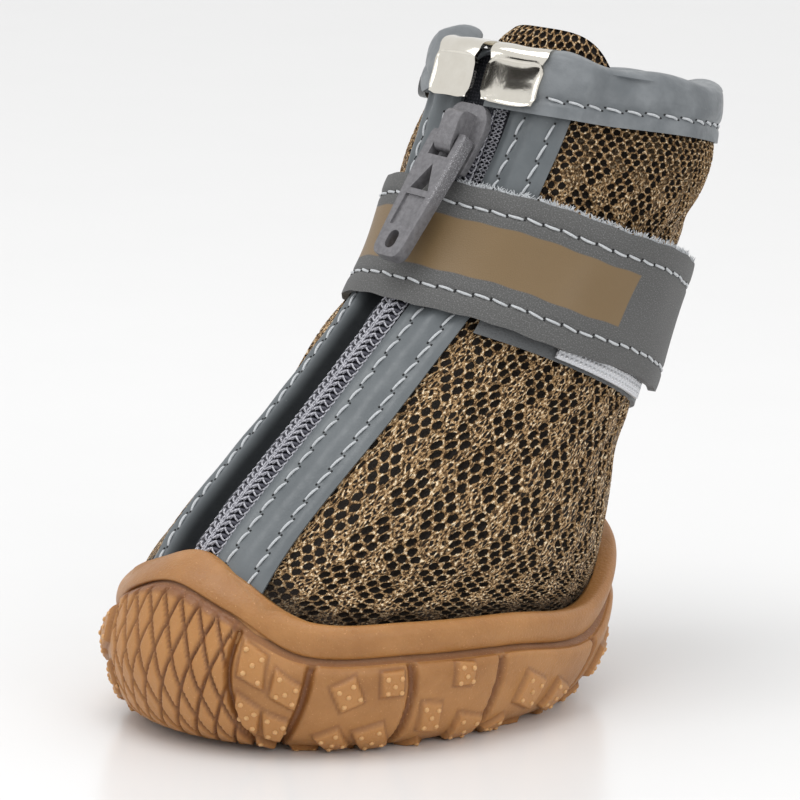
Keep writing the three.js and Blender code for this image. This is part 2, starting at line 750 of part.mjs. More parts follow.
function pullOutline() {
  const tab = new THREE.Shape();
  const foot = PULL_EDGE[PULL_EDGE.length - 1];
  tab.moveTo(PULL_EDGE[0].x, PULL_EDGE[0].d);
  for (const point of PULL_EDGE.slice(1)) {
    tab.lineTo(point.x, point.d);
  }
  tab.quadraticCurveTo(foot.x - 0.1, PULL_LENGTH, PULL_END_HALF, PULL_LENGTH);
  tab.lineTo(-PULL_END_HALF, PULL_LENGTH);
  tab.quadraticCurveTo(-foot.x + 0.1, PULL_LENGTH, -foot.x, foot.d);
  for (const point of [...PULL_EDGE].reverse().slice(1)) {
    tab.lineTo(-point.x, point.d);
  }
  tab.quadraticCurveTo(-ARM_OUTER, -ARM_ROUND, -ARM_OUTER + 0.5, -ARM_ROUND);
  tab.lineTo(-ARM_INNER, -ARM_ROUND);
  tab.lineTo(-ARM_INNER, FORK_DEPTH);
  tab.lineTo(ARM_INNER, FORK_DEPTH);
  tab.lineTo(ARM_INNER, -ARM_ROUND);
  tab.lineTo(ARM_OUTER - 0.5, -ARM_ROUND);
  tab.quadraticCurveTo(ARM_OUTER, -ARM_ROUND, ARM_OUTER, 0);
  return tab;
}

function zipPull() {
  const tab = pullOutline();
  const eye = new THREE.Path();
  eye.moveTo(0, EYE_TOP);
  eye.lineTo(EYE_HALF, EYE_FOOT);
  eye.lineTo(-EYE_HALF, EYE_FOOT);
  tab.holes.push(eye);
  const slot = new THREE.Path();
  slot.absarc(0, SLOT_TO, SLOT_WIDE / 2, 0, Math.PI, false);
  slot.absarc(0, SLOT_FROM, SLOT_WIDE / 2, Math.PI, TURN, false);
  tab.holes.push(slot);
  const plate = extruded(tab, PULL_THICK, CURVE_STEPS);
  plate.translate(0, 0, -PULL_THICK / 2);
  const recess = new THREE.BoxGeometry(RECESS_WIDE, RECESS_TO - RECESS_FROM, 2 * RECESS_DEEP);
  recess.translate(0, (RECESS_FROM + RECESS_TO) / 2, -PULL_THICK / 2);
  const pin = new THREE.CylinderGeometry(PIN_RADIUS, PIN_RADIUS, 2 * ARM_INNER + 1, 12);
  pin.rotateZ(Math.PI / 2);
  const geometry = toGeometry(toSolid(plate).subtract(toSolid(recess)).add(toSolid(pin)));
  geometry.applyMatrix4(pullFrame());
  return toSolid(geometry);
}

// ---------------------------------------------------------------- collar
// Rise of the binding's outer leaf off the upper, w mm from the zip's middle line.
function bindingRise(w) {
  const edge = openingHalf(COLLAR) + FACING_WIDE;
  const over = FACING_TOP + GAP;
  const ramp = THREE.MathUtils.smoothstep(Math.abs(w), edge + 0.6, edge + 0.6 + BIND_RAMP);
  return over + (BIND_ROOM - over) * ramp;
}

const COLLAR_ROUND = TURN * SHAFT[6].width; // mm round the collar, as beside() counts it
const BIND_FRONT = 16; // mm from the zip over which its section changes

function collarBinding() {
  const inside = -WALL - BIND_ROOM;
  const near = spread(BIND_END, BIND_FRONT, 8);
  const far = spread(BIND_FRONT, COLLAR_ROUND - BIND_FRONT, 20).slice(1, -1);
  const last = spread(COLLAR_ROUND - BIND_FRONT, COLLAR_ROUND - BIND_END, 8);
  return collarFold([...near, ...far, ...last], (w) => {
    const rise = bindingRise(w > COLLAR_ROUND / 2 ? COLLAR_ROUND - w : w);
    const top = (rise + inside) / 2;
    return [
      [BIND_DROP / 2, rise],
      [BIND_DROP, rise],
      [BIND_DROP, rise + BIND_THICK],
      [BIND_DROP / 2, rise + BIND_THICK],
      [0.2, rise + BIND_THICK],
      [-BIND_TOP * 0.7, rise + BIND_THICK * 0.4],
      [-BIND_TOP, top],
      [-BIND_TOP * 0.7, inside - BIND_THICK * 0.4],
      [0.2, inside - BIND_THICK],
      [BIND_INNER_DROP, inside - BIND_THICK],
      [BIND_INNER_DROP, inside],
      [-BIND_ROOM, inside],
      [-BIND_ROOM, rise],
    ];
  });
}

function clip(side) {
  const outer = FACING_TOP + GAP + BIND_THICK + GAP;
  const inner = -WALL - BIND_ROOM - BIND_THICK - GAP;
  const top = -BIND_TOP - GAP;
  const ws = spread(side * CLIP_FROM, side * CLIP_TO, 4);
  return collarFold(ws, () => [
    [CLIP_DROP, outer],
    [CLIP_DROP, outer + CLIP_SHEET],
    [top + 0.4, outer + CLIP_SHEET],
    [top - CLIP_SHEET, outer - 0.4],
    [top - CLIP_SHEET, inner + 0.4],
    [top + 0.4, inner - CLIP_SHEET],
    [CLIP_INNER_DROP, inner - CLIP_SHEET],
    [CLIP_INNER_DROP, inner],
    [top, inner],
    [top, outer],
  ]);
}

// ---------------------------------------------------------------- straps
function strapOuter() {
  const rise = (degrees) => through(OUTER_RISE, degrees).rise;
  return strapBand(STRAP_FROM, STRAP_TO, 44, OUTER_LOW, OUTER_HIGH, rise, STRAP_THICK);
}

function strapBase() {
  return strapBand(BASE_FROM, BASE_TO, 34, BASE_LOW, BASE_HIGH, () => GAP, STRAP_THICK);
}

function hookTape() {
  const rise = () => GAP + STRAP_THICK + GAP;
  return strapBand(HOOK_FROM, HOOK_TO, 12, HOOK_LOW, HOOK_HIGH, rise, HOOK_THICK);
}

// ---------------------------------------------------------------- assembly
const FINISH = {
  gum: { color: 0xb07a44, roughness: 0.6, metalness: 0 },
  mesh: { color: 0x6b5840, roughness: 0.9, metalness: 0 },
  foam: { color: 0x4a4038, roughness: 0.95, metalness: 0 },
  leatherette: { color: 0x6d7980, roughness: 0.5, metalness: 0 },
  tape: { color: 0x4d5058, roughness: 0.9, metalness: 0 },
  coil: { color: 0x8f8d9c, roughness: 0.5, metalness: 0 },
  cast: { color: 0x7d7b7e, roughness: 0.4, metalness: 0.6 },
  nickel: { color: 0xd6d2c8, roughness: 0.15, metalness: 1 },
  reflective: { color: 0x757779, roughness: 0.6, metalness: 0 },
  webbing: { color: 0x55585b, roughness: 0.8, metalness: 0 },
  hook: { color: 0xe8e9ec, roughness: 0.8, metalness: 0 },
};

const PIECES = [
  { name: 'outsole', solid: outsole(), finish: 'gum' },
  { name: 'insole', solid: insole(), finish: 'foam' },
  { name: 'upper', solid: upper(), finish: 'mesh' },
  { name: 'tongue', solid: tongue(), finish: 'mesh' },
  { name: 'facing_left', solid: facing(1), finish: 'leatherette' },
  { name: 'facing_right', solid: facing(-1), finish: 'leatherette' },
  { name: 'zip_tape', solid: zipTape(), finish: 'tape' },
  { name: 'zip_chain', solid: zipChain(), finish: 'coil' },
  { name: 'zip_slider', solid: zipSlider(), finish: 'cast' },
  { name: 'zip_pull', solid: zipPull(), finish: 'cast' },
  { name: 'collar_binding', solid: collarBinding(), finish: 'leatherette' },
  { name: 'clip_left', solid: clip(1), finish: 'nickel' },
  { name: 'clip_right', solid: clip(-1), finish: 'nickel' },
  { name: 'strap_base', solid: strapBase(), finish: 'webbing' },
  { name: 'hook_tape', solid: hookTape(), finish: 'hook' },
  { name: 'strap_outer', solid: strapOuter(), finish: 'reflective' },
];

const boot = new THREE.Group();
for (const piece of PIECES) {
  const material = new THREE.MeshStandardMaterial(FINISH[piece.finish]);
  const mesh = new THREE.Mesh(toGeometry(piece.solid), material);
  mesh.name = piece.name;
  boot.add(mesh);
}

export default boot;
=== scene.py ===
# %% [markdown]
# # A zip-front dog boot
# The boot is a moulded rubber cup sole, a leaning shaft of brown spacer mesh, leatherette facings
# beside a coil zip, a leatherette collar binding with two nickel clips, and an ankle strap.
# The CAD model gives every place. This lesson dresses it: each soft piece is worked out again as a
# fine surface with folds, stitches and a weave, and the cast pieces keep their CAD shapes with
# rounded edges. Sizes are in millimetres, and meshes are made in metres.

import math

import bpy
import numpy as np
from mathutils import Matrix, Vector


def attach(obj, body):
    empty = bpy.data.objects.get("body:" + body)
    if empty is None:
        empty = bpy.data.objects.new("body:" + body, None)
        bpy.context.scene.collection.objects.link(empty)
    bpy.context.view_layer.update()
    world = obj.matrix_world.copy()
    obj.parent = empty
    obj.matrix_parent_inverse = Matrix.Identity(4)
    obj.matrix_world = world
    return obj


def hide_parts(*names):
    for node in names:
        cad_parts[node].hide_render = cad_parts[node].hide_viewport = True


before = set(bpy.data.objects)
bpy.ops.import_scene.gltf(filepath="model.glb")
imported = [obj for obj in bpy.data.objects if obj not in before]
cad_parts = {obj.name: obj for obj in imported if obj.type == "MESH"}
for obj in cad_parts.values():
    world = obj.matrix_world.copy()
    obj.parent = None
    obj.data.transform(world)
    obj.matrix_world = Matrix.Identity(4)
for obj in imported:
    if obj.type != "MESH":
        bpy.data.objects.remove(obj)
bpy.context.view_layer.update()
MM = 0.001
BODY = "boot"
rng = np.random.default_rng(7)
scene = bpy.context.scene

# %% [markdown]
# ## Camera and light
# A long lens from a little above and to the right of the toe flattens the boot, as in a catalogue.
# The camera is turned slightly about its own line of sight, so the boot leans a little. Broad soft
# lamps stand for a white studio tent. A lamp that is large for its distance gives wide, gentle
# highlights on leatherette and rubber. The floor is a plain pale plane that fills the view.


# %% Camera
def place_object(name, data):
    """A new object with its data, linked to the scene."""
    o = bpy.data.objects.new(name, data)
    scene.collection.objects.link(o)
    return o


AZIMUTH, ELEVATION, ROLL = (math.radians(x) for x in (43.5, 11.8, 1.2))
DISTANCE = 0.8
TARGET = Vector((0.0, 0.005, 0.040))
level_right = Vector((math.cos(AZIMUTH), math.sin(AZIMUTH), 0.0))
level_back = Vector((math.sin(AZIMUTH), -math.cos(AZIMUTH), 0.0))
back = level_back * math.cos(ELEVATION) + Vector((0.0, 0.0, math.sin(ELEVATION)))
level_up = back.cross(level_right)
right = level_right * math.cos(ROLL) + level_up * math.sin(ROLL)
up = level_up * math.cos(ROLL) - level_right * math.sin(ROLL)

lens = bpy.data.cameras.new("studio_camera")
lens.lens, lens.sensor_width = 270.0, 36.0
lens.shift_x, lens.shift_y = 0.0091, -0.0005
camera = place_object("studio_camera", lens)
turn = Matrix((right, up, back)).transposed().to_4x4()
camera.matrix_world = Matrix.Translation(TARGET + back * DISTANCE) @ turn
scene.camera = camera
scene.view_settings.view_transform = "Standard"


# %% Lamps and sky
def lamp(name, place, size, watts):
    """A square soft lamp at a place in metres that looks at the boot's middle."""
    data = bpy.data.lights.new(name, "AREA")
    data.size, data.energy = size, watts
    o = place_object(name, data)
    o.location = place
    o.rotation_mode = "QUATERNION"
    o.rotation_quaternion = (Vector((0, 0, 0.04)) - Vector(place)).to_track_quat("-Z", "Y")


lamp("tent_top", (-0.05, -0.15, 0.75), 0.45, 2.0)
lamp("tent_left", (-0.45, -0.55, 0.40), 0.35, 0.5)
lamp("tent_right", (0.75, -0.15, 0.35), 0.4, 0.9)
world = bpy.data.worlds.new("tent")
world.use_nodes = True
sky = world.node_tree.nodes["Background"].inputs
sky["Color"].default_value = (1.0, 1.0, 1.0, 1.0)
sky["Strength"].default_value = 0.88
scene.world = world

# %% [markdown]
# ## Tables and the two forms
# The CAD shapes rest on two forms, and both are repeated here for whole arrays at once: the shaft,
# as level sections along its lean, and the sole's outline with its rim. A table is a short list of
# rows, and a cubic curve runs through them.


# %% Curves through tables
def rows(names, *values):
    """A table with named columns."""
    return dict(zip(names.split(), np.array(values, float).T))


def each(table):
    """The table's rows, one dict of numbers each."""
    return [dict(zip(table, row)) for row in zip(*table.values())]


def hermite(a, b, slope_a, slope_b, t):
    """Cubic from a to b as t goes from 0 to 1, with these slopes at its ends."""
    return (
        a * (1 + 2 * t) * (1 - t) ** 2
        + slope_a * t * (1 - t) ** 2
        + b * t * t * (3 - 2 * t)
        + slope_b * t * t * (t - 1)
    )


def through(table, x, flat=False):
    """Cubic curve through a table's rows: each stretch blends its two rows and their slopes.
    Past the ends it runs on straight, or level where flat is true."""
    at = table["at"]
    x = np.asarray(x, float)
    inside = np.clip(x, at[0], at[-1])
    i = np.clip(np.searchsorted(at, inside, "right") - 1, 0, len(at) - 2)
    step = at[i + 1] - at[i]
    out = {}
    for key, v in table.items():
        slope = np.zeros(len(at))
        slope[1:-1] = (v[2:] - v[:-2]) / (at[2:] - at[:-2])
        if not flat:
            slope[0] = (v[1] - v[0]) / (at[1] - at[0])
            slope[-1] = (v[-1] - v[-2]) / (at[-1] - at[-2])
        curve = hermite(v[i], v[i + 1], slope[i] * step, slope[i + 1] * step, (inside - at[i]) / step)
        out[key] = curve + np.where(x < at[0], slope[0], slope[-1]) * (x - inside)
    return out


def smooth(low, high, x):
    """0 below low, 1 above high, and a soft step between them."""
    t = np.clip((np.asarray(x, float) - low) / (high - low), 0, 1)
    return t * t * (3 - 2 * t)


def length_along(points):
    """Length from the first point to each point of a line, or of many lines side by side."""
    steps = np.linalg.norm(np.diff(points, axis=0), axis=-1)
    return np.concatenate([np.zeros((1,) + steps.shape[1:]), np.cumsum(steps, 0)])


def unit(v):
    return v / (np.linalg.norm(v, axis=-1, keepdims=True) + 1e-12)


def turned(angle, middle):
    """Degrees from a middle direction to the angle, between -180 and 180."""
    return (np.degrees(angle) - middle + 180) % 360 - 180


# %% The shaft's form
SHAFT = rows(
    "at z y depth width tilt",
    (0, 5.3, 0.0, 31.0, 20.6, 0),
    (1, 14.0, 0.2, 35.2, 24.8, 1),
    (2, 22.0, 4.6, 32.3, 24.9, 6.5),
    (3, 38.0, 17.9, 24.9, 20.1, 10.5),
    (4, 53.0, 28.2, 19.4, 18.5, 11.7),
    (5, 68.0, 35.5, 18.0, 21.4, 11.8),
    (6, 81.3, 40.4, 17.9, 18.8, 11.1),
)
COLLAR = 6.0
STEP_MM = 14.3  # mm between two places along the shaft
WALL, GAP = 2.0, 0.3
OPENING = rows("at half", (1.5, 2.0), (3.2, 2.0), (3.8, 2.4), (4.6, 3.4), (5.4, 4.2), (6.3, 4.4))
ZIP_FOOT = 1.62
ZIP_ANGLE = -math.pi / 2


def shaft(place, angle, off=0.0):
    """Point of the shaft: a level ellipse at the place, its front raised by the tilt, grown by off."""
    s = through(SHAFT, place)
    tilt = np.radians(s["tilt"])
    forward = (s["depth"] + off) * np.sin(angle)
    x = (s["width"] + off) * np.cos(angle)
    y = s["y"] + forward * np.cos(tilt)
    z = s["z"] - forward * np.sin(tilt)
    return np.stack(np.broadcast_arrays(x, y, z), -1)


def angle_beside(place, w):
    """Angle w mm round the shaft from the zip's middle line, which wanders to the wearer's left."""
    return ZIP_ANGLE + (w + 1.5 * smooth(3.3, 5.6, place)) / through(SHAFT, place)["width"]


def beside(place, w, off=0.0):
    """Point w mm round the shaft from the zip's middle line."""
    return shaft(place, angle_beside(place, w), off)


def opening_half(place):
    """Half width between the facings."""
    return through(OPENING, place)["half"]


# %% [markdown]
# ## Meshes from arrays
# Every new piece is a grid of points. A slab is a front grid and a back grid with a wall round
# their edges, which suits cloth and straps. A tube is a ring of points carried along a path, which
# suits threads and coils, and hundreds of tubes are worked out at once. The signed volume tells
# whether a closed mesh is inside out, so faces always end up pointing outwards.


# %% Grids, slabs and tubes
def grid_faces(n, m, wrap=False, first=0):
    """Quads of an n by m grid of points, whose columns join up where wrap is true."""
    i, j = np.meshgrid(np.arange(n - 1), np.arange(m if wrap else m - 1), indexing="ij")
    k = (j + 1) % m
    quads = np.stack([i * m + j, i * m + k, (i + 1) * m + k, (i + 1) * m + j], -1)
    return quads.reshape(-1, 4) + first


def slab(front, back):
    """Closed sheet: front and back grids of equal size, and a wall round their edges."""
    n, m = front.shape[:2]
    points = np.concatenate([front.reshape(-1, 3), back.reshape(-1, 3)])
    number = np.arange(n * m).reshape(n, m)
    faces = [grid_faces(n, m), grid_faces(n, m, first=n * m)[:, ::-1]]
    for a, way in ((number[0], 1), (number[-1], -1), (number[:, 0], -1), (number[:, -1], 1)):
        b = a + n * m
        faces.append(np.stack([a[:-1], a[1:], b[1:], b[:-1]], -1)[:, ::way])
    return points, faces


def tubes(paths, outward, radius, around=6):
    """Closed tubes. paths is (how many, points, 3), outward their upward directions, and radius
    a number or one value per point. Each ring is a circle square to its path."""
    k, n = paths.shape[:2]
    along = unit(np.gradient(paths, axis=1))
    side = unit(np.cross(along, outward))
    high = np.cross(side, along)
    turn = np.arange(around) * 2 * np.pi / around
    r = np.broadcast_to(radius, (k, n))[:, :, None, None]
    ring = side[:, :, None] * np.cos(turn)[:, None] + high[:, :, None] * np.sin(turn)[:, None]
    points = (paths[:, :, None] + ring * r).reshape(-1, 3)
    start = (np.arange(k) * n * around)[:, None, None]
    quads = (grid_faces(n, around, True)[None] + start).reshape(-1, 4)
    caps = np.arange(around)[None] + np.arange(k)[:, None] * n * around
    return points, [quads, caps[:, ::-1], caps + (n - 1) * around]


def signed_volume(points, faces):
    """Six times the volume inside the faces, negative where they point inwards."""
    total = 0.0
    for f in faces:
        a = points[f[:, 0]]
        for j in range(1, f.shape[1] - 1):
            total += np.einsum("ij,ij->i", a, np.cross(points[f[:, j]], points[f[:, j + 1]])).sum()
    return total


def piece(name, points, faces, finish, slot, flat=None, extra=None, sharp=None, stands_for=None):
    """A mesh object that rides on the boot. points are in mm, faces a list of index arrays, and
    flat holds flat coordinates for the front points, which the back points share."""
    if signed_volume(points, faces) < 0:
        faces = [f[:, ::-1] for f in faces]
    mesh = bpy.data.meshes.new(name)
    mesh.vertices.add(len(points))
    mesh.vertices.foreach_set("co", (points * MM).astype(np.float32).ravel())
    corners = np.concatenate([f.ravel() for f in faces]).astype(np.int32)
    sizes = np.concatenate([np.full(len(f), f.shape[1]) for f in faces])
    mesh.loops.add(len(corners))
    mesh.loops.foreach_set("vertex_index", corners)
    mesh.polygons.add(len(sizes))
    starts = np.concatenate([[0], np.cumsum(sizes)[:-1]]).astype(np.int32)
    mesh.polygons.foreach_set("loop_start", starts)
    mesh.update(calc_edges=True)
    mesh.shade_smooth()
    if sharp is not None:
        mesh.set_sharp_from_angle(angle=math.radians(sharp))
    if flat is not None:
        uv = np.stack(np.broadcast_arrays(*flat), -1).reshape(-1, 2)
        uv = np.resize(uv, (len(points), 2))
        mesh.uv_layers.new(name="flat").data.foreach_set("uv", uv[corners].astype(np.float32).ravel())
    for key, values in (extra or {}).items():
        values = np.resize(values, len(points)).astype(np.float32)
        mesh.attributes.new(key, "FLOAT", "POINT").data.foreach_set("value", values)
    mesh.materials.append(finish)
    o = place_object(name, mesh)
    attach(o, BODY)
    if stands_for:
        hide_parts(stands_for)
    return o


# %% [markdown]
# ## Finishes from nodes
# A small helper keeps node trees short: it adds a node, sets or links its inputs, and returns the
# output. Patterns on cloth read the piece's own flat coordinates in mm, so that they follow its
# surface, and moulded and cast pieces read Object coordinates.


# %% The finish helper
def is_socket(value):
    return isinstance(value, bpy.types.NodeSocket)


class Finish:
    """A material's node tree around one Principled shader."""

    def __init__(self, name, roughness=0.5, **fixed):
        self.material = bpy.data.materials.new(name)
        self.material.use_nodes = True
        self.tree = self.material.node_tree
        self.shader = self.tree.nodes["Principled BSDF"]
        self.shader.inputs["Roughness"].default_value = roughness
        for key, value in fixed.items():
            self.shader.inputs[key.replace("_", " ")].default_value = value

    def put(self, node, key, value):
        """Links a socket to an input, or sets the input's value."""
        if is_socket(value):
            self.tree.links.new(value, node.inputs[key])
        else:
            node.inputs[key].default_value = value

    def node(self, kind, *values, out=0, settings=None, **inputs):
        """A node with its settings and inputs, given in order or by name; returns one output."""
        n = self.tree.nodes.new("ShaderNode" + kind)
        for key, value in (settings or {}).items():
            setattr(n, key, value)
        for key, value in [*enumerate(values), *inputs.items()]:
            self.put(n, key.replace("_", " ") if isinstance(key, str) else key, value)
        return n.outputs if out is None else n.outputs[out]

    def math(self, how, *values):
        return self.node("Math", *values, settings={"operation": how})

    def times(self, a, b):
        return self.math("MULTIPLY", a, b)

    def plus(self, a, b):
        return self.math("ADD", a, b)

    def less(self, a, b):
        return self.math("SUBTRACT", a, b)

    def sum_of(self, a, ka, b, kb):
        """a times ka plus b times kb."""
        return self.plus(self.times(a, ka), self.times(b, kb))

    def step(self, low, high, x):
        """The soft step from low to high."""
        return self.node("MapRange", x, low, high, settings={"interpolation_type": "SMOOTHSTEP"})

    def mix(self, share, a, b, most=None):
        """Colour a where share is 0 and b where it is 1, or b by the part most of the share."""
        n = self.tree.nodes.new("ShaderNodeMix")
        n.data_type = "RGBA"
        self.put(n, 0, share if most is None else self.times(share, most))
        for i, value in ((6, a), (7, b)):
            self.put(n, i, value if is_socket(value) else (*value, 1.0))
        return n.outputs[2]

    def attribute(self, name):
        return self.node("Attribute", out=2, settings={"attribute_name": name})

    def flat(self, across=1.0, along=1.0):
        """The piece's flat coordinates in mm, stretched for a pattern."""
        uv = self.node("UVMap", settings={"uv_map": "flat"})
        return self.node("Mapping", Vector=uv, Scale=(across, along, 1.0))

    def place(self, scale=1000.0):
        """Object coordinates, in mm unless scaled."""
        return self.node("Mapping", Vector=self.node("TexCoord", out=3), Scale=(scale, scale, scale))

    def parts(self, vector):
        """The two or three numbers of a vector."""
        return self.node("SeparateXYZ", vector, out=None)

    def noise(self, where, scale, detail=3.0, rough=0.5):
        return self.node("TexNoise", Vector=where, Scale=scale, Detail=detail, Roughness=rough)

    def weave(self, scale, distortion=0.0):
        """Two sets of waves across each other, multiplied."""
        fixed = {"Vector": self.flat(), "Scale": scale, "Distortion": distortion}
        waves = (self.node("TexWave", settings={"bands_direction": way}, **fixed) for way in "XY")
        return self.times(*waves)

    def bump(self, height, distance, strength=1.0):
        """Bump whose height is in mm."""
        return self.node("Bump", Height=height, Distance=distance * MM, Strength=strength)

    def finish(self, **inputs):
        """Links the last sockets to the shader and returns the material."""
        for key, value in inputs.items():
            self.put(self.shader, {"colour": "Base Color"}.get(key, key.capitalize()), value)
        return self.material


def two_tone(name, dark, light, grain, on="place", relief=0.0, sharp=None, roughness=0.5, **fixed):
    """A finish of two colours mixed by noise, or by a weave. grain is the noise's scale, detail and
    roughness, or the weave's scale and distortion; on names the coordinates, or the weave; relief is
    the pattern's height in mm, and sharp the limits of a soft step."""
    f = Finish(name, roughness, **fixed)
    noise = f.weave(*grain) if on == "weave" else f.noise(getattr(f, on)(), *grain)
    colour = f.mix(f.step(*sharp, noise) if sharp else noise, dark, light)
    return f.finish(colour=colour, **({"normal": f.bump(noise, relief)} if relief else {}))


# %% [markdown]
# ### Floor and dark card
# Bright metal in a white tent looks like white paper. A dark card in front of the toe gives the
# nickel clips a dark shape to mirror, and the camera doesn't see it.


# %% Floor and card
def stage_plate(name, middle, across, along, finish):
    """A flat rectangle of the studio, given by its middle and two half edges in metres."""
    mesh = bpy.data.meshes.new(name)
    corners = [middle + across * i + along * j for i, j in ((-1, -1), (1, -1), (1, 1), (-1, 1))]
    mesh.from_pydata(corners, [], [(0, 1, 2, 3)])
    mesh.materials.append(finish)
    place_object(name, mesh)


floor_finish = two_tone(
    "studio_floor", (0.83, 0.83, 0.83), (0.85, 0.85, 0.85), (0.04,), roughness=0.22, Specular_IOR_Level=0.3
)
stage_plate("floor", Vector((0, 0, -0.00005)), Vector((3.0, 0, 0)), Vector((0, 3.0, 0)), floor_finish)
card_finish = two_tone("dark_card", (0.010, 0.009, 0.008), (0.022, 0.020, 0.018), (0.12,), roughness=0.9)
card_middle, card_across = Vector((-0.045, -0.50, 0.300)), Vector((0.100, 0.014, 0))
stage_plate("dark_card", card_middle, card_across, Vector((0, 0, 0.075)), card_finish)

# %% [markdown]
# ## Gum rubber sole
# The cup sole is moulded in one: a smooth band round the top, a step under it, side panels cut by
# S-shaped grooves with scattered square blocks, and a toe patch of long diamond scales. The side is
# one grid round the outline, and blocks, grooves and scales are heights added to it along its own
# outward direction, as in the mould. The same heights go with the mesh as attributes, so that the
# finish paints shade into the grooves, round the blocks and under the rim's step, and paints the
# raised blocks and scales lighter as painted highlights.

# %% The sole's form
HALF_LENGTH, HALF_WIDTH, SQUARENESS = 38.5, 27.7, 2.05
RIM_BAND, STEP_DEPTH, WIDEST, UNDERCUT = 4.6, 0.7, 10.3, 7.9
FLAT_INSET = UNDERCUT + 3.2
TOE_SPRING, HEEL_SPRING, SPRING_START = 1.3, 4.4, 0.25
RIM = rows(
    "at height lean tuck",
    (-90, 25.0, 6.5, 2.8),
    (-70, 22.3, 4.6, 2.1),
    (-50, 17.9, 1.6, 1.1),
    (-25, 17.3, 0.5, 0.8),
    (0, 16.4, 0.4, 0.8),
    (30, 14.5, -0.2, 0.8),
    (60, 20.0, -1.0, 0.8),
    (90, 22.8, -1.2, 0.8),
)


def outline(angle, inset=0.0):
    """The sole's rounded oval seen from above: a superellipse, moved in towards its middle."""
    c, s = np.cos(angle), np.sin(angle)
    reach = (np.abs(c) ** SQUARENESS + np.abs(s) ** SQUARENESS) ** (-1 / SQUARENESS)
    x, y = HALF_WIDTH * c * reach, HALF_LENGTH * s * reach
    keep = 1 - inset / np.hypot(x, y)
    return x * keep, y * keep


def spring_at(y):
    """Height that the tread's edge rises towards toe and heel."""
    past = [np.maximum((way * y / HALF_LENGTH - SPRING_START) / (1 - SPRING_START), 0) for way in (-1, 1)]
    return TOE_SPRING * past[0] ** 2 + HEEL_SPRING * past[1] ** 2


def side_degrees(angle):
    """Place round one side in degrees, -90 at the toe and 90 at the heel."""
    return np.degrees(np.arcsin(np.clip(np.sin(angle), -1, 1)))


def rim_at(angle):
    return through(RIM, side_degrees(angle), flat=True)


# %% Heights of the tread pattern
GROOVES = rows(
    "top middle foot",
    (-66, -67.5, -60),
    (-48, -52, -61),
    (-26, -26.5, -34),
    (-3.5, -5, -10),
    (30, 27, 21),
    (60, 57, 51),
)
BLOCKS = rows(
    "at up wide tall turn",
    (-61.7, 0.82, 3.4, 3.8, -6),
    (-53.8, 0.74, 3.6, 3.6, -16),
    (-63.6, 0.46, 3.2, 3.6, -18),
    (-57.0, 0.40, 3.4, 3.6, -8),
    (-61.6, 0.13, 3.6, 3.0, -40),
    (-40.0, 0.76, 3.7, 3.6, 22),
    (-30.2, 0.83, 3.3, 3.1, 2),
    (-44.0, 0.31, 4.0, 3.8, 24),
    (-34.5, 0.33, 4.7, 4.3, 15),
    (-52.0, 0.05, 4.2, 2.6, -4),
    (-42.0, 0.04, 4.2, 2.2, 4),
    (-13.5, 0.86, 3.1, 2.9, -4),
    (-21.0, 0.52, 3.3, 4.1, -4),
    (-11.0, 0.34, 4.8, 4.8, -12),
    (-23.5, 0.12, 4.2, 3.4, 36),
    (-14.0, 0.03, 4.4, 2.2, 4),
    (6.0, 0.62, 4.6, 4.8, -20),
    (17.0, 0.50, 4.4, 4.8, -24),
    (-1.0, 0.26, 3.8, 3.8, 30),
    (8.0, 0.12, 4.2, 3.2, 12),
    (22.0, 0.14, 4.0, 3.0, -10),
    (38.0, 0.60, 4.6, 4.6, -20),
    (51.0, 0.45, 4.4, 4.4, 18),
    (34.0, 0.22, 4.2, 3.6, 24),
    (66.0, 0.60, 4.4, 4.6, 12),
    (78.0, 0.40, 4.4, 4.2, -16),
)
SIDE_TALL = 15.0
SCALE_WIDE, SCALE_TALL = 2.95, 4.9


def groove_degrees(groove, up):
    """Place of a groove at a height: a parabola through its three places."""
    foot, middle = 2 * (up - 0.5) * (up - 1) * groove["foot"], 4 * up * (1 - up) * groove["middle"]
    return foot + middle + 2 * up * (up - 0.5) * groove["top"]


def tread_height(degrees, up, arc):
    """Height over the side in mm. degrees is the place round one side, up runs from the tread (0)
    to the step (1), and arc is mm for each radian. Returns the height, the share of painted shade
    (in grooves and round the blocks) and the share of painted highlight (on raised blocks and scales)."""
    cut, raised, outlined = np.zeros_like(up), np.zeros_like(up), np.zeros_like(up)
    for groove in each(GROOVES):
        far = np.radians(np.abs(degrees - groove_degrees(groove, up))) * arc
        cut = np.maximum(cut, 1 - smooth(0.30, 0.85, far))
    for block in each(BLOCKS):
        x = np.radians(degrees - block["at"]) * arc
        y = (up - block["up"]) * SIDE_TALL
        c, s = math.cos(math.radians(block["turn"])), math.sin(math.radians(block["turn"]))
        far = np.maximum(np.abs(x * c + y * s) - block["wide"] / 2, np.abs(y * c - x * s) - block["tall"] / 2)
        raised = np.maximum(raised, 1 - smooth(-0.28, 0.04, far))
        outlined = np.maximum(outlined, 1 - smooth(0.1, 0.45, far))
    raised *= 1 - cut
    toe = smooth(0.2, -0.9, degrees - groove_degrees(each(GROOVES)[0], up))
    x, y = np.radians(degrees + 90) * arc / SCALE_WIDE, (up - 0.5) * SIDE_TALL / SCALE_TALL
    p, q = (n - np.round(n) for n in (x + y, x - y))
    scale = smooth(0.025, 0.13, np.minimum(0.5 - np.abs(p), 0.5 - np.abs(q))) * smooth(1.0, 0.97, up)
    lip = smooth(1.0, 0.96, up)
    height = lip * (0.25 * (1 - cut) + 0.70 * raised - 0.75 * cut) * (1 - toe)
    height += toe * scale * (0.55 + 0.20 * (0.5 + p * 0.5))
    # Painted shade share: grooves, rings round the blocks, and the gaps between toe scales.
    shade = np.maximum(cut * lip, 0.55 * outlined * (1 - raised)) * (1 - toe) + toe * (1 - scale)
    return height, shade, raised * (1 - toe) + toe * scale


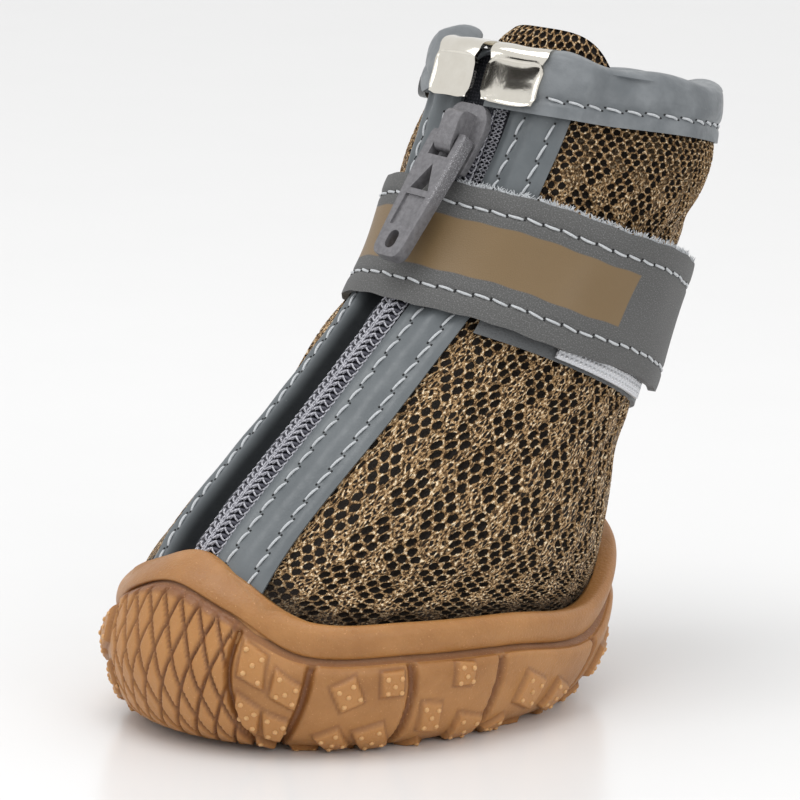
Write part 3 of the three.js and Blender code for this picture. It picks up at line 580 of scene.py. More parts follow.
# %% The sole's grid
SOLE_AROUND = 720
sole_angle = np.linspace(0, 2 * np.pi, SOLE_AROUND, endpoint=False)


def key_lines(counts, *pairs):
    """Smooth lines through rows of inset and height, each one number or one per angle. The slope
    at a row comes from the rows beside it, and counts gives the points between two rows."""
    keys = np.stack([np.stack(np.broadcast_arrays(*pair, sole_angle)[:2], -1) for pair in pairs])
    slope = np.gradient(keys, axis=0)
    lines = [keys[-1:]]
    for i in reversed(range(len(counts))):
        t = np.linspace(0, 1, counts[i], endpoint=False)[:, None, None]
        lines.insert(0, hermite(keys[i], keys[i + 1], slope[i], slope[i + 1], t))
    return np.concatenate(lines)


rim = rim_at(sole_angle)
tuck, lean = rim["tuck"], rim["lean"]
spring = spring_at(outline(sole_angle)[1])
band = RIM_BAND - 0.9 * smooth(-50, -72, side_degrees(sole_angle))
step_z = rim["height"] - band
side_rows = key_lines(
    (5, 14, 20, 22, 16),
    (FLAT_INSET, 0.0),
    (UNDERCUT, spring * 0.6 + 0.1),
    (UNDERCUT * 0.55, WIDEST * 0.1 + spring * 0.85),
    (UNDERCUT * 0.22, WIDEST * 0.36 + spring),
    (0.0, np.minimum(WIDEST + 0.7 * spring, step_z - 1.5)),
    (tuck * 0.75, step_z - 0.3),
)
rim_rows = key_lines(
    (4, 7, 8, 5, 4, 4),
    (tuck + STEP_DEPTH + 0.25, step_z + 0.03 * band),
    (tuck + 0.10, step_z + 0.12 * band),
    (tuck * 0.65 + lean * 0.35 - 0.30, step_z + 0.42 * band),
    (tuck * 0.20 + lean * 0.80 - 0.15, step_z + 0.74 * band),
    (lean + 0.45, step_z + 0.93 * band),
    (lean + 1.2, step_z + 0.99 * band),
    (np.maximum(lean, 0.4) + 2.3, step_z + 0.94 * band),
)
profile = np.concatenate([side_rows, rim_rows])
sole_grid = np.stack([*outline(sole_angle[None], profile[..., 0]), profile[..., 1]], -1)
round_ = np.roll(sole_grid, -1, 1) - np.roll(sole_grid, 1, 1)
outward = unit(np.cross(round_, np.gradient(sole_grid, axis=0)))

side_count, foot_row = len(side_rows), 5
length_up = length_along(sole_grid[:side_count])
up_share = (length_up - length_up[foot_row]) / (length_up[-1] - length_up[foot_row])


def arc_at(angle):
    """mm of the outline for each radian."""
    return np.hypot(HALF_WIDTH * np.sin(angle), HALF_LENGTH * np.cos(angle))


degrees_round = side_degrees(sole_angle)[None] + 0 * up_share
# cut and raised here are the shares of painted shade and painted highlight that the finish reads.
tread, cut, raised = tread_height(degrees_round, up_share, arc_at(sole_angle)[None])
sole_grid[:side_count] += outward[:side_count] * (tread * smooth(-0.02, 0.06, up_share))[..., None]
sole_grid[..., 2] = np.maximum(sole_grid[..., 2], 0.02)


# %% Under the sole and inside the cup
def halving(low, high, is_below, turns):
    """Narrows a range by halves to where is_below changes from true to false."""
    for _ in range(turns):
        middle = (low + high) / 2
        below = is_below(middle)
        low, high = np.where(below, middle, low), np.where(below, high, middle)
    return low, high


TREAD_GROOVES = (-23, -13.5, 6.5, 15.5, 24)
under_share = np.linspace(0.02, 1, 14, endpoint=False)[:, None]
under_x, under_y = (edge * under_share for edge in outline(sole_angle, FLAT_INSET))
under_z = np.max([1.1 * (1 - smooth(0.6, 1.0, np.abs(under_y - at))) for at in TREAD_GROOVES], 0)
under = np.stack([under_x, under_y, under_z], -1)

facing_edge = opening_half(ZIP_FOOT) + 8.4
w_round = np.abs(np.arctan2(np.cos(sole_angle), -np.sin(sole_angle))) * SHAFT["width"][2]
cup_room = GAP + 1.9 * (1 - smooth(facing_edge + 0.8, facing_edge + 6, w_round))
cup_top, _ = halving(
    np.zeros(SOLE_AROUND),
    np.full(SOLE_AROUND, 3.0),
    lambda place: shaft(place, sole_angle, cup_room)[..., 2] < rim["height"] - 0.45,
    24,
)
cup_share = np.array([1.0, 0.85, 0.65, 0.45, 0.2, 0.0])[:, None]
cup = shaft(-0.04 + (cup_top[None] + 0.04) * cup_share, sole_angle[None], cup_room[None])
cup_end = cup[-1:].mean(1, keepdims=True)
cup_floor = cup_end + (cup[-1:] - cup_end) * np.array([0.6, 0.05])[:, None, None]
sole_rings = np.concatenate([under, sole_grid, cup, cup_floor])
side = slice(len(under), len(under) + side_count)
painted_shade_rings, painted_highlight_rings = np.zeros(sole_rings.shape[:2]), np.zeros(sole_rings.shape[:2])
painted_shade_rings[side], painted_highlight_rings[side] = cut, raised
# Painted shade under the rim's step: the rows round it get at least 0.75.
painted_shade_rings[side.stop - 2 : side.stop + 3] = np.maximum(painted_shade_rings[side.stop - 2 : side.stop + 3], 0.75)
ring = np.arange(SOLE_AROUND)[None]
sole_faces = [grid_faces(len(sole_rings), SOLE_AROUND, True), ring[:, ::-1]]
sole_faces.append(ring + (len(sole_rings) - 1) * SOLE_AROUND)

# %% Gum rubber
SOFT = {"Subsurface_Weight": 0.10, "Subsurface_Scale": 0.0008}
gum = Finish("gum_rubber", roughness=0.48, Subsurface_Radius=(1.0, 0.45, 0.2), **SOFT)
where = gum.place()
cloud = gum.noise(where, 0.12, 4.0, 0.6)
speck = gum.noise(where, 3.2, 2.0, 0.7)
rubber = gum.mix(gum.step(0.3, 0.7, cloud), (0.335, 0.146, 0.039), (0.425, 0.200, 0.062))
# Painted highlight on raised blocks and scales, and painted shade in grooves, round blocks and under the
# step.
rubber = gum.mix(gum.attribute("raised"), rubber, (0.50, 0.235, 0.072), 0.60)
rubber = gum.mix(gum.attribute("cut"), rubber, (0.16, 0.050, 0.012), 0.80)
rubber = gum.mix(gum.step(0.62, 0.80, speck), rubber, (0.62, 0.33, 0.14))
gum_material = gum.finish(
    colour=rubber,
    roughness=gum.plus(0.33, gum.times(gum.noise(where, 0.8), 0.2)),
    normal=gum.bump(gum.noise(where, 2.6, 3.0, 0.6), 0.09),
)
sole_shade = {"cut": painted_shade_rings, "raised": painted_highlight_rings}
sole_points = sole_rings.reshape(-1, 3)
piece(
    "sole_rubber", sole_points, sole_faces, gum_material, "gum_rubber", extra=sole_shade, stands_for="outsole"
)

# %% [markdown]
# ### Dots on the blocks
# Each block carries four or five small round dots. They are far smaller than the grid's squares, so
# they are separate low domes: a few rings each, all made as one mesh. A dome's place is read back
# from the sole's own grid, so it sits on its block.

# %% Dots
DOTS = np.array([(-0.28, 0.28), (0.3, 0.26), (0.0, -0.02), (-0.26, -0.3), (0.3, -0.28)])
DOME = rows("level radius", (-0.12, 0.36), (0.04, 0.36), (0.15, 0.31), (0.23, 0.18), (0.26, 0.03))
at, up_at, wide, tall, turn = (column[:, None] for column in BLOCKS.values())
x, y, turn, at = DOTS[:, 0] * wide, DOTS[:, 1] * tall, np.radians(turn), np.radians(at)
dot_angle = at + (x * np.cos(turn) - y * np.sin(turn)) / arc_at(at)
dot_up = up_at + (x * np.sin(turn) + y * np.cos(turn)) / SIDE_TALL
keep = (dot_up > 0.03) & (dot_up < 0.94)
dot_angle, dot_up = dot_angle[keep], dot_up[keep]
dot_angle = np.concatenate([dot_angle, np.pi - dot_angle]) % (2 * np.pi)
column = np.round(dot_angle / (2 * np.pi) * SOLE_AROUND).astype(int) % SOLE_AROUND
row = np.abs(up_share[:, column] - np.tile(dot_up, 2)).argmin(0)
dot_out = outward[row, column]
dot_paths = sole_grid[row, column][:, None] + dot_out[:, None] * DOME["level"][:, None]
dot_side = np.repeat(np.cross(dot_out, [0.3, 0.2, 1.0])[:, None], len(DOME["level"]), 1)
points, faces = tubes(dot_paths, dot_side, DOME["radius"], 8)
points[:, 2] = np.maximum(points[:, 2], 0.03)
# The dots' colours are lighter than the sole's rubber: painted highlights on the small domes.
dot_material = two_tone(
    "gum_dots", (0.50, 0.255, 0.090), (0.74, 0.45, 0.20), (1.5, 2.0), relief=0.05, roughness=0.42, **SOFT
)
piece("sole_dots", points, faces, dot_material, "gum_rubber")

# %% [markdown]
# ## Spacer mesh upper
# The shaft is a thick knit with round holes, about 1.5 mm apart in staggered rows. Most holes stand
# in diamond-shaped groups of nine, with closed knit between the groups, and near the collar all are
# open. Cutting thousands of holes would be heavy, so the face is a fine grid that dips at every
# hole, and the finish paints the same holes near-black as painted shade, with crinkled yarn round
# them whose gaps are painted shade and whose bright strands are painted highlights. Both use one
# formula on the flat coordinates. A second, thicker solid behind it is the padding and lining.

# %% The hole pattern
PITCH, ROW, HOLE = 1.5, 1.04, 0.52
LATTICES = ((0.0, 0.0), (PITCH / 2, ROW))
GROUP_A, GROUP_B = (3 * PITCH, -2 * ROW), (0.5 * PITCH, 5 * ROW)
GROUP_AREA = GROUP_A[0] * GROUP_B[1] - GROUP_A[1] * GROUP_B[0]
GROUP_EDGE = (1.03, 1.17)
WANDER = 0.20


def holes(u, v, all_open):
    """1 in a hole and 0 on the knit. Slow waves make the rows uneven. Then the distance to the
    nearest point of two interleaved square lattices is less than the hole's radius, inside a
    diamond round each group's middle."""
    u, v = u + WANDER * np.sin(v * 0.83 + u * 0.21), v + WANDER * np.sin(u * 0.71 - v * 0.13)
    near = []
    for du, dv in LATTICES:
        x = u + du - PITCH * np.round((u + du) / PITCH)
        y = v + dv - 2 * ROW * np.round((v + dv) / (2 * ROW))
        near.append(np.hypot(x, y))
    i = (u * GROUP_B[1] - v * GROUP_B[0]) / GROUP_AREA
    j = (-u * GROUP_A[1] + v * GROUP_A[0]) / GROUP_AREA
    i, j = i - np.round(i), j - np.round(j)
    x, y = i * GROUP_A[0] + j * GROUP_B[0], i * GROUP_A[1] + j * GROUP_B[1]
    group = 1 - smooth(*GROUP_EDGE, np.abs(x) / (1.5 * PITCH) + np.abs(y) / (3 * ROW))
    inside = 1 - smooth(HOLE - 0.16, HOLE + 0.10, np.minimum(*near))
    return inside * np.maximum(group, all_open)


# %% Spacer mesh finish
knit = Finish("spacer_mesh", roughness=0.55, Specular_IOR_Level=0.16)
u0, v0 = knit.parts(knit.flat())[:2]


def wave(a, ka, b, kb):
    """WANDER times the sine of a ka plus b kb."""
    return knit.times(knit.math("SINE", knit.sum_of(a, ka, b, kb)), WANDER)


def to_nearest(value, step):
    """Distance with its sign to the nearest multiple of step."""
    return knit.less(value, knit.times(knit.math("ROUND", knit.math("DIVIDE", value, step)), step))


fuzz = knit.noise(knit.flat(), 1.9, 2.0, 0.6)
shift = knit.times(knit.less(fuzz, 0.5), 0.55)
u1 = knit.plus(knit.plus(u0, wave(v0, 0.83, u0, 0.21)), shift)
v1 = knit.less(knit.plus(v0, wave(u0, 0.71, v0, -0.13)), shift)
near = []
for du, dv in LATTICES:
    x, y = to_nearest(knit.plus(u1, du), PITCH), to_nearest(knit.plus(v1, dv), 2 * ROW)
    near.append(knit.math("SQRT", knit.sum_of(x, x, y, y)))
gi = to_nearest(knit.sum_of(u1, GROUP_B[1] / GROUP_AREA, v1, -GROUP_B[0] / GROUP_AREA), 1.0)
gj = to_nearest(knit.sum_of(u1, -GROUP_A[1] / GROUP_AREA, v1, GROUP_A[0] / GROUP_AREA), 1.0)
gx, gy = (knit.math("ABSOLUTE", knit.sum_of(gi, a, gj, b)) for a, b in zip(GROUP_A, GROUP_B))
group = knit.less(1.0, knit.step(*GROUP_EDGE, knit.sum_of(gx, 1 / (1.5 * PITCH), gy, 1 / (3 * ROW))))
group = knit.math("MAXIMUM", group, knit.attribute("open"))
hole = knit.less(1.0, knit.step(HOLE - 0.06, HOLE + 0.06, knit.math("MINIMUM", *near)))
corner = knit.math("ABSOLUTE", knit.less(*near))
hole = knit.times(knit.times(hole, group), knit.step(0.16, 0.30, corner))

squiggle = knit.node(
    "TexVoronoi", settings={"feature": "DISTANCE_TO_EDGE"}, Vector=knit.flat(1.8, 1.25), Scale=1.0
)
yarn = knit.math("MAXIMUM", knit.step(0.19, 0.14, squiggle), group)
strand = knit.noise(knit.flat(1.0, 0.62), 3.1, 2.0, 0.7)
tone = knit.noise(knit.flat(), 0.12, 3.0)
pit = knit.noise(knit.flat(), 3.0, 2.0)
brown = knit.mix(tone, (0.070, 0.036, 0.013), (0.105, 0.056, 0.023))
# Painted shade: the gaps between crinkled strands go near-black.
brown = knit.mix(yarn, (0.010, 0.0055, 0.0025), brown)
# Painted highlights: mid and bright glints along the strands.
brown = knit.mix(knit.times(yarn, knit.step(0.44, 0.50, strand)), brown, (0.44, 0.275, 0.130), 0.92)
brown = knit.mix(knit.times(yarn, knit.step(0.575, 0.61, strand)), brown, (1.0, 0.83, 0.58), 0.85)
# Darker within about 2 mm above the rubber rim.
brown = knit.mix(knit.attribute("near_rim"), brown, (0.020, 0.014, 0.009), 0.78)
# Painted shade: the holes go near-black.
brown = knit.mix(hole, brown, knit.mix(pit, (0.003, 0.002, 0.001), (0.012, 0.007, 0.004)))
relief = knit.less(knit.plus(knit.times(yarn, 1.2), strand), knit.times(hole, 1.6))
knit_material = knit.finish(colour=brown, normal=knit.bump(relief, 0.45))

# %% [markdown]
# ### Creases
# Cloth that is pulled in by a strap and a zip isn't a clean form. The main bulges and troughs are
# placed as soft mounds: each row gives a place along the shaft, an angle, a size and a height.

# %% The upper's face
CREASES = rows(
    "place angle tall wide turn height",
    (5.20, -150, 6, 12, 0, 0.3),
    (5.35, 20, 7, 26, 0, 0.7),
    (5.40, 100, 8, 40, 0, 0.6),
    (4.75, 30, 3, 22, 12, -0.6),
    (3.30, 5, 6, 24, -10, 0.8),
    (3.40, -155, 8, 13, 0, 1.9),
    (2.30, -137, 9, 13, 0, -1.5),
    (2.75, 55, 4, 24, -14, -0.5),
    (2.40, -20, 9, 22, 8, 0.6),
    (2.10, 150, 6, 30, 0, 0.5),
    (1.75, -35, 3, 30, 0, -0.4),
)


def crease(place, angle):
    """Sum of soft mounds: each falls off as a bell curve in its own turned directions."""
    total = 0.0
    width = through(SHAFT, place)["width"]
    for c in each(CREASES):
        x = np.radians(turned(angle, c["angle"])) * width
        y = (place - c["place"]) * STEP_MM
        turn = math.radians(c["turn"])
        p = (x * math.cos(turn) + y * math.sin(turn)) / c["wide"]
        q = (y * math.cos(turn) - x * math.sin(turn)) / c["tall"]
        total = total + c["height"] * np.exp(-2 * (p**2 + q**2))
    return total


def collar_press(place, angle):
    """How far the collar's edge is pressed in on the wearer's right, in mm."""
    return -2.0 * np.exp(-((turned(angle, -162) / 32) ** 2)) * smooth(4.6, 5.7, place)


def collar_lift(angle):
    """The collar's edge isn't level: how many mm it stands over the CAD edge."""
    peak, back_dip = np.exp(-((turned(angle, -131) / 11) ** 2)), np.exp(-((turned(angle, 170) / 50) ** 2))
    return 2.8 * peak - 0.8 * back_dip - 0.3


def shell(place, angle, off):
    """Point of the upper's wall, whose top follows the lifted collar."""
    lift = collar_lift(angle) / STEP_MM * smooth(5.0, 6.0, place)
    return shaft(place + lift, angle, off + collar_press(place, angle))


def round_from_slot(place, half_angle, share):
    """Angles round the shaft from the left edge of the zip's slot (0) to its right edge (1)."""
    return angle_beside(place, 0) + half_angle + (2 * np.pi - 2 * half_angle) * share


FACE_UP, FACE_ROUND, FACE_FOOT, SLOT = 215, 450, 0.8, 5.2
share_round = np.linspace(0, 1, FACE_ROUND)[None]
place = FACE_FOOT + (COLLAR - 0.1 - FACE_FOOT) * np.linspace(0, 1, FACE_UP)[:, None] + 0 * share_round
width = through(SHAFT, place)["width"]
angle = round_from_slot(place, (SLOT - 0.4) / width, share_round)
flat_u = (angle + np.pi / 2) * (0.45 * 21.0 + 0.55 * width)
flat_v = (place - 1) * STEP_MM * 1.18
open_top = smooth(4.7, 5.3, place) * 0.9
# Share of the knit just above the rubber rim, which the finish paints darker.
near_rim = 1 - smooth(0.3, 2.2, shaft(place, angle)[..., 2] - rim_at(angle)["height"])
under_binding = smooth(5.5, 5.62, place)
near_zip = 1 - smooth(9, 13, np.minimum(share_round, 1 - share_round) * 2 * np.pi * width)
off = 0.12 + crease(place, angle)
for covered in (under_binding, near_zip):
    off = off * (1 - covered) + 0.05 * covered
pits = holes(flat_u, flat_v, open_top) * (1 - under_binding) * (1 - near_zip)
piece(
    "upper_mesh",
    shell(place, angle, off - 0.5 * pits).reshape(-1, 3),
    [grid_faces(FACE_UP, FACE_ROUND)],
    knit_material,
    "spacer_mesh",
    flat=(flat_u, flat_v),
    extra={"open": open_top, "near_rim": near_rim},
    stands_for="upper",
)

# %% Padding and lining behind the face
lining = Finish("lining_knit", roughness=0.9, Sheen_Weight=0.3)
loops = lining.noise(lining.flat(1.0, 0.5), 2.5, 3.0, 0.6)
rib = lining.node("TexWave", Vector=lining.flat(), Scale=0.55, Distortion=1.5)
lining_material = lining.finish(
    colour=lining.mix(loops, (0.045, 0.034, 0.026), (0.10, 0.075, 0.055)),
    normal=lining.bump(lining.plus(loops, rib), 0.2),
)
share_round = np.linspace(0, 1, 120)[None]
place = np.linspace(-0.02, COLLAR - 0.05, 70)[:, None] + 0 * share_round
slot = 0.05 + SLOT * smooth(ZIP_FOOT - 0.05, ZIP_FOOT + 0.05, place)
angle = round_from_slot(place, slot / through(SHAFT, place)["width"], share_round)
dent = np.minimum(crease(place, angle), 0) * (1 - smooth(5.4, 5.6, place))
points, faces = slab(shell(place, angle, dent - 0.65), shell(place, angle, dent - WALL))
piece("upper_lining", points, faces, lining_material, "lining", flat=(angle * 21, place * STEP_MM))

# %% [markdown]
# ## Tongue
# Behind the zip a curved sheet of the same spacer mesh keeps the teeth off the leg. Its domed top
# stands out of the collar. It is a slab whose front has the hole pattern and whose edges thin out.

# %% Tongue
TONGUE_IN, TONGUE_THICK, TONGUE_HALF, TONGUE_TURN = 5.6, 2.6, 71.0, 6.0
TONGUE_FOOT, TONGUE_TOP, TONGUE_DOME = 3.5, 5.6, 6.34
across = np.linspace(-1, 1, 144)[None]
up_it = np.linspace(0, 1, 140)[:, None]
dome = TONGUE_TOP + (TONGUE_DOME - TONGUE_TOP) * (1 - np.abs(across) ** 3.8)
place = TONGUE_FOOT + (dome - TONGUE_FOOT) * up_it
angle = ZIP_ANGLE + np.radians(TONGUE_TURN + across * TONGUE_HALF) + 0 * up_it
round_edge = np.sqrt(np.clip(1 - smooth(0.93, 1.0, up_it) ** 2, 0, 1)) * (1 - 0.75 * np.abs(across) ** 8)
thick = TONGUE_THICK * np.maximum(round_edge, 0.06)
puff = 0.5 * smooth(0.6, 0.9, up_it) * (1 - across**2) - 0.9 * smooth(0.8, 1.0, up_it)
flat_u, flat_v = angle * 15.0, (place - 1) * STEP_MM * 1.05
pits = holes(flat_u, flat_v, 1.0) * (1 - smooth(0.93, 0.99, np.abs(across)))
middle = -TONGUE_IN - TONGUE_THICK / 2
front = shaft(place, angle, middle + thick / 2 + puff - 0.45 * pits)
rear = shaft(place, angle, middle - thick / 2 + puff * 0.8)
tongue = piece(
    "tongue_mesh",
    *slab(front, rear),
    knit_material,
    "spacer_mesh",
    flat=(flat_u, flat_v),
    extra={"open": 1.0, "near_rim": 0.0},
    stands_for="tongue",
)

# %% [markdown]
# ## Leatherette facings
# Two strips of thin coated cloth are sewn beside the zip with two rows of stitches each. Between the
# rows the strip is slightly puffed, and the stitches draw it down. The strip on the wearer's left
# lies flat up to the zip. The other rolls down into a valley beside it, and the valley is painted
# with shade. Both are slabs whose height across the strip comes from a short table.

# %% Leatherette
def leatherette(name, dark, light, haze_scale, gloss=0.42):
    """Coated cloth: cloudy colour, pale scuffs, a fine pebble grain, and painted shade where the shade
    attribute is set.
    """
    pu = Finish(name, roughness=0.45, Specular_IOR_Level=gloss)
    where = pu.place()
    pebble = pu.node("TexVoronoi", settings={"feature": "SMOOTH_F1"}, Vector=where, Scale=3.4)
    scuff = pu.noise(where, 0.9, 4.0, 0.65)
    valley_shade = pu.attribute("shade")
    colour = pu.mix(pu.step(0.3, 0.7, pu.noise(where, haze_scale, 4.0, 0.6)), dark, light)
    colour = pu.mix(pu.step(0.66, 0.78, scuff), colour, (0.42, 0.45, 0.47), 0.22)
    # Painted shade: the colour goes almost black, and duller, where the shade attribute is set.
    colour = pu.mix(valley_shade, colour, (0.006, 0.007, 0.008), 0.95)
    rough = pu.plus(0.36, pu.times(pu.step(0.35, 0.7, scuff), 0.16))
    rough = pu.plus(rough, pu.times(valley_shade, 0.45))
    return pu.finish(colour=colour, roughness=rough, normal=pu.bump(pebble, 0.035, 0.6))


# Both facings are one cloth. The right one's copy is painted lighter, as painted light on its bulge.
facing_finishes = {
    1: leatherette("leatherette", (0.110, 0.124, 0.133), (0.140, 0.155, 0.164), 0.11),
    -1: leatherette("leatherette_valley", (0.128, 0.142, 0.151), (0.158, 0.173, 0.182), 0.11, 0.10),
}
# The binding's copy of the same leatherette is lighter and spans a wider range: painted highlights over its
# folds.
fold_material = leatherette("leatherette_fold", (0.125, 0.138, 0.148), (0.205, 0.220, 0.232), 0.16)

# %% Facing strips
FACING, FACING_FOOT, FACING_THICK = 8.4, 1.35, 0.6
LEFT_RISE = rows(
    "at top", (0, 0.75), (1.0, 1.15), (2.1, 0.95), (4.2, 1.62), (6.3, 1.0), (7.3, 1.15), (8.4, 0.85)
)
RIGHT_RISE = rows(
    "at top", (0, -0.3), (1.5, -0.25), (2.9, 0.7), (4.2, 1.6), (5.4, 1.5), (6.6, 1.75), (7.5, 1.3), (8.4, 0.7)
)
SIDES = ((1, "left"), (-1, "right"))


def facing_point(side, place, e, under=0.0):
    """Point of a facing, e mm from its inner edge; the table gives its height over the upper."""
    top = through(LEFT_RISE, e)["top"]
    if side < 0:
        gentle = smooth(3.6, 4.6, place)
        top = through(RIGHT_RISE, e)["top"] * (1 - gentle) + top * gentle
    lumps = 0.06 * np.sin(place * 19 + side) * np.sin(e * 0.7)
    foot = smooth(1.45, 2.0, place)
    top = (top + lumps) * foot + 0.7 * (1 - foot)
    return beside(place, side * (opening_half(place) + e), top - under)


e = np.linspace(0, FACING, 34)[None]
place = np.linspace(FACING_FOOT, COLLAR - 0.02, 260)[:, None]
for side, name in SIDES:
    # valley is painted shade: it darkens the right facing where it rolls down beside the zip.
    valley = (1 - smooth(2.7, 5.2, e)) * (1 - smooth(3.6, 4.8, place)) * (side < 0)
    piece(
        f"facing_{name}_strip",
        *slab(facing_point(side, place, e), facing_point(side, place, e, FACING_THICK)),
        facing_finishes[side],
        "leatherette",
        extra={"shade": valley},
        sharp=50,
        stands_for=f"facing_{name}",
    )

# %% [markdown]
# ## Zip
# A size 3 coil zip is two nylon spirals on woven tape, each held by sewing thread whose loops show as
# two columns of slanting strands. Each loop is a short tube, and the columns are worked out at once
# along the zip's middle line. The tape is a slab with a fine woven finish.

# %% Tape
TAPE_HALF = 4.9
tape_tones = (0.030, 0.032, 0.040), (0.085, 0.088, 0.105)
tape_material = two_tone("zip_tape", *tape_tones, (0.62, 0.6), on="weave", relief=0.12, roughness=0.85)
w = np.linspace(-TAPE_HALF, TAPE_HALF, 12)[None]
place = np.linspace(ZIP_FOOT + 0.03, COLLAR, 120)[:, None]
sag = 0.25 * (1 - (w / TAPE_HALF) ** 2)
tape = slab(beside(place, w, -0.1 - sag), beside(place, w, -0.7 - sag))
piece("zip_tape_cloth", *tape, tape_material, "zip_tape", flat=(w, place * STEP_MM), stands_for="zip_tape")

# %% Coils and their threads
COIL_PITCH, CHAIN_TOP = 1.10, 5.42
fine = np.linspace(ZIP_FOOT + 0.05, CHAIN_TOP, 800)
chain_length = length_along(beside(fine, 0.0, 1.0))
coil_at = np.interp(np.arange(0, chain_length[-1], COIL_PITCH), chain_length, fine)
mm_per_place = COIL_PITCH / np.gradient(coil_at)


def zip_up(place):
    """Outward direction over the zip's middle line."""
    return unit(beside(place, 0.0, 1.0) - beside(place, 0.0, 0.0))


def strands(w_line, up_line, along_line, radius, around=6):
    """Tubes for both columns: across, height and length along the zip are given per point."""
    all_paths, all_up = [], []
    for side, half in ((1, 0.0), (-1, COIL_PITCH / 2)):
        place = coil_at[:, None] + (along_line[None] + half) / mm_per_place[:, None]
        all_paths.append(beside(place, side * w_line[None] + 0 * place, up_line[None] + 0 * place))
        all_up.append(zip_up(place))
    return tubes(np.concatenate(all_paths), np.concatenate(all_up), radius, around)


t = np.linspace(0, 1, 9)
hump, quarter = np.sin(np.pi * t), t * np.pi * 0.5
coils = strands(0.02 + 1.72 * np.sin(quarter), 0.30 + 1.05 * np.cos(quarter), 0.25 * hump, 0.36)
coil_material = two_tone("zip_coil", (0.022, 0.022, 0.034), (0.075, 0.075, 0.10), (1.2,), roughness=0.38)
piece("zip_coils", *coils, coil_material, "zip_coil", stands_for="zip_chain")

thread_material = two_tone(
    "lilac_thread",
    (0.17, 0.17, 0.20),
    (0.66, 0.66, 0.71),
    (6.0, 2.0),
    relief=0.08,
    sharp=(0.3, 0.7),
    roughness=0.55,
    Sheen_Weight=0.2,
)
LOOPS = (
    (0.16 + 0.86 * t**0.8, 1.52 + 0.34 * hump, 0.92 * t - 0.35),
    (1.86 - 0.80 * t**0.8, 1.10 + 0.62 * t**0.6, 0.92 * t - 0.35),
    (1.04 - 0.45 * t, 1.66 - 0.20 * t, 0.57 - 0.80 * t),
    (1.80 + 0.16 * hump, 0.95 - 0.35 * t, -0.3 + 1.2 * t),
    (0.07 + 0.12 * hump, 1.66 + 0.14 * hump, -0.3 + 1.05 * t),
)
for number, loop in enumerate(LOOPS, 1):
    piece(f"zip_thread_{number}", *strands(*loop, 0.135, 5), thread_material, "zip_coil")
turns = np.linspace(0, 1, 260)
place, turn = 4.55 + 1.3 * turns, 2 * np.pi * 15 * turns
lace = np.stack(
    [
        beside(place, w + size * np.sin(turn), 0.12 + 0.08 * np.cos(2 * turn))
        for w in (2.15, 3.0)
        for size in (0.42, -0.42)
    ]
)
lace_up = np.repeat(zip_up(place)[None], len(lace), 0)
piece("zip_lace", *tubes(lace, lace_up, 0.10, 5), thread_material, "zip_tape")

# %% [markdown]
# ## Cast slider and pull tab
# The slider and its pull are zinc castings with a grey lacquer. Their CAD shapes are right, so each
# is copied, its loose triangles are merged, and its edges are rounded. The lacquer is worn to bright
# metal specks on the pull's edge.


# %% Cast pieces
def rounded_copy(node, name, width, finish, body):
    """A copy of a CAD node with merged points and bevelled edges."""
    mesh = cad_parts[node].data.copy()
    mesh.materials.clear()
    mesh.materials.append(finish)
    o = place_object(name, mesh)
    o.modifiers.new("weld", "WELD").merge_threshold = 1e-5
    flat = o.modifiers.new("flat", "DECIMATE")
    flat.decimate_type, flat.angle_limit = "DISSOLVE", math.radians(1.0)
    bevel = o.modifiers.new("round", "BEVEL")
    bevel.width, bevel.segments, bevel.limit_method = width * MM, 3, "ANGLE"
    bevel.angle_limit, bevel.harden_normals = math.radians(28), False
    mesh.shade_smooth()
    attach(o, body)
    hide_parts(node)
    return o


def lacquer(name, specks, bright, most):
    """Grey lacquer with an orange-peel surface and bright specks where the function puts them."""
    f = Finish(name, roughness=0.42, Metallic=0.35)
    where = f.place()
    peel = f.noise(where, 1.6, 3.0, 0.6)
    colour = f.mix(f.step(0.3, 0.7, peel), (0.145, 0.142, 0.150), (0.20, 0.195, 0.205))
    colour = f.mix(specks(f, where), colour, bright, most)
    return f.finish(colour=colour, roughness=f.plus(0.34, f.times(peel, 0.2)), normal=f.bump(peel, 0.05))


def sparkle(f, where):
    return f.step(0.62, 0.72, f.noise(where, 7.0, 2.0, 0.8))


def rubbed_edge(f, where):
    """Chips on the upper part of the pull's side wall, measured from its leaning middle line."""
    x, _, z = f.parts(where)
    down = f.less(74.0, z)
    from_middle = f.plus(x, f.times(down, 0.118))
    rub = f.times(f.step(3.8, 4.1, from_middle), f.step(9.0, 5.0, down))
    return f.times(rub, f.step(0.57, 0.66, f.noise(where, 6.5, 3.0, 0.8)))


cast_material = lacquer("cast_lacquer", sparkle, (0.6, 0.6, 0.62), 0.35)
worn_material = lacquer("worn_lacquer", rubbed_edge, (0.85, 0.85, 0.87), 0.85)
rounded_copy("zip_slider", "slider_casting", 0.42, cast_material, BODY)
rounded_copy("zip_pull", "pull_casting", 0.22, worn_material, "pull_tab")

# %% [markdown]
# ## Collar binding
# A folded strip of leatherette covers the collar's edge, sewn through near its lower edge. Its
# section is a long U: up the outside, over the edge and down the inside. The U is carried round the
# collar from one end at the zip to the other, and it steps up over the facings at both ends.

# %% Binding
BIND_DROP, BIND_INNER_DROP, BIND_THICK, BIND_TOP, BIND_END = 7.0, 5.5, 1.0, 1.1, 1.2
BIND_ROOM, BIND_SEAM, BIND_TURN = 0.45, 4.7, (0.47, 0.63)
OVER_FACING = 1.4 + GAP
COLLAR_ROUND = 2 * math.pi * SHAFT["width"][6]


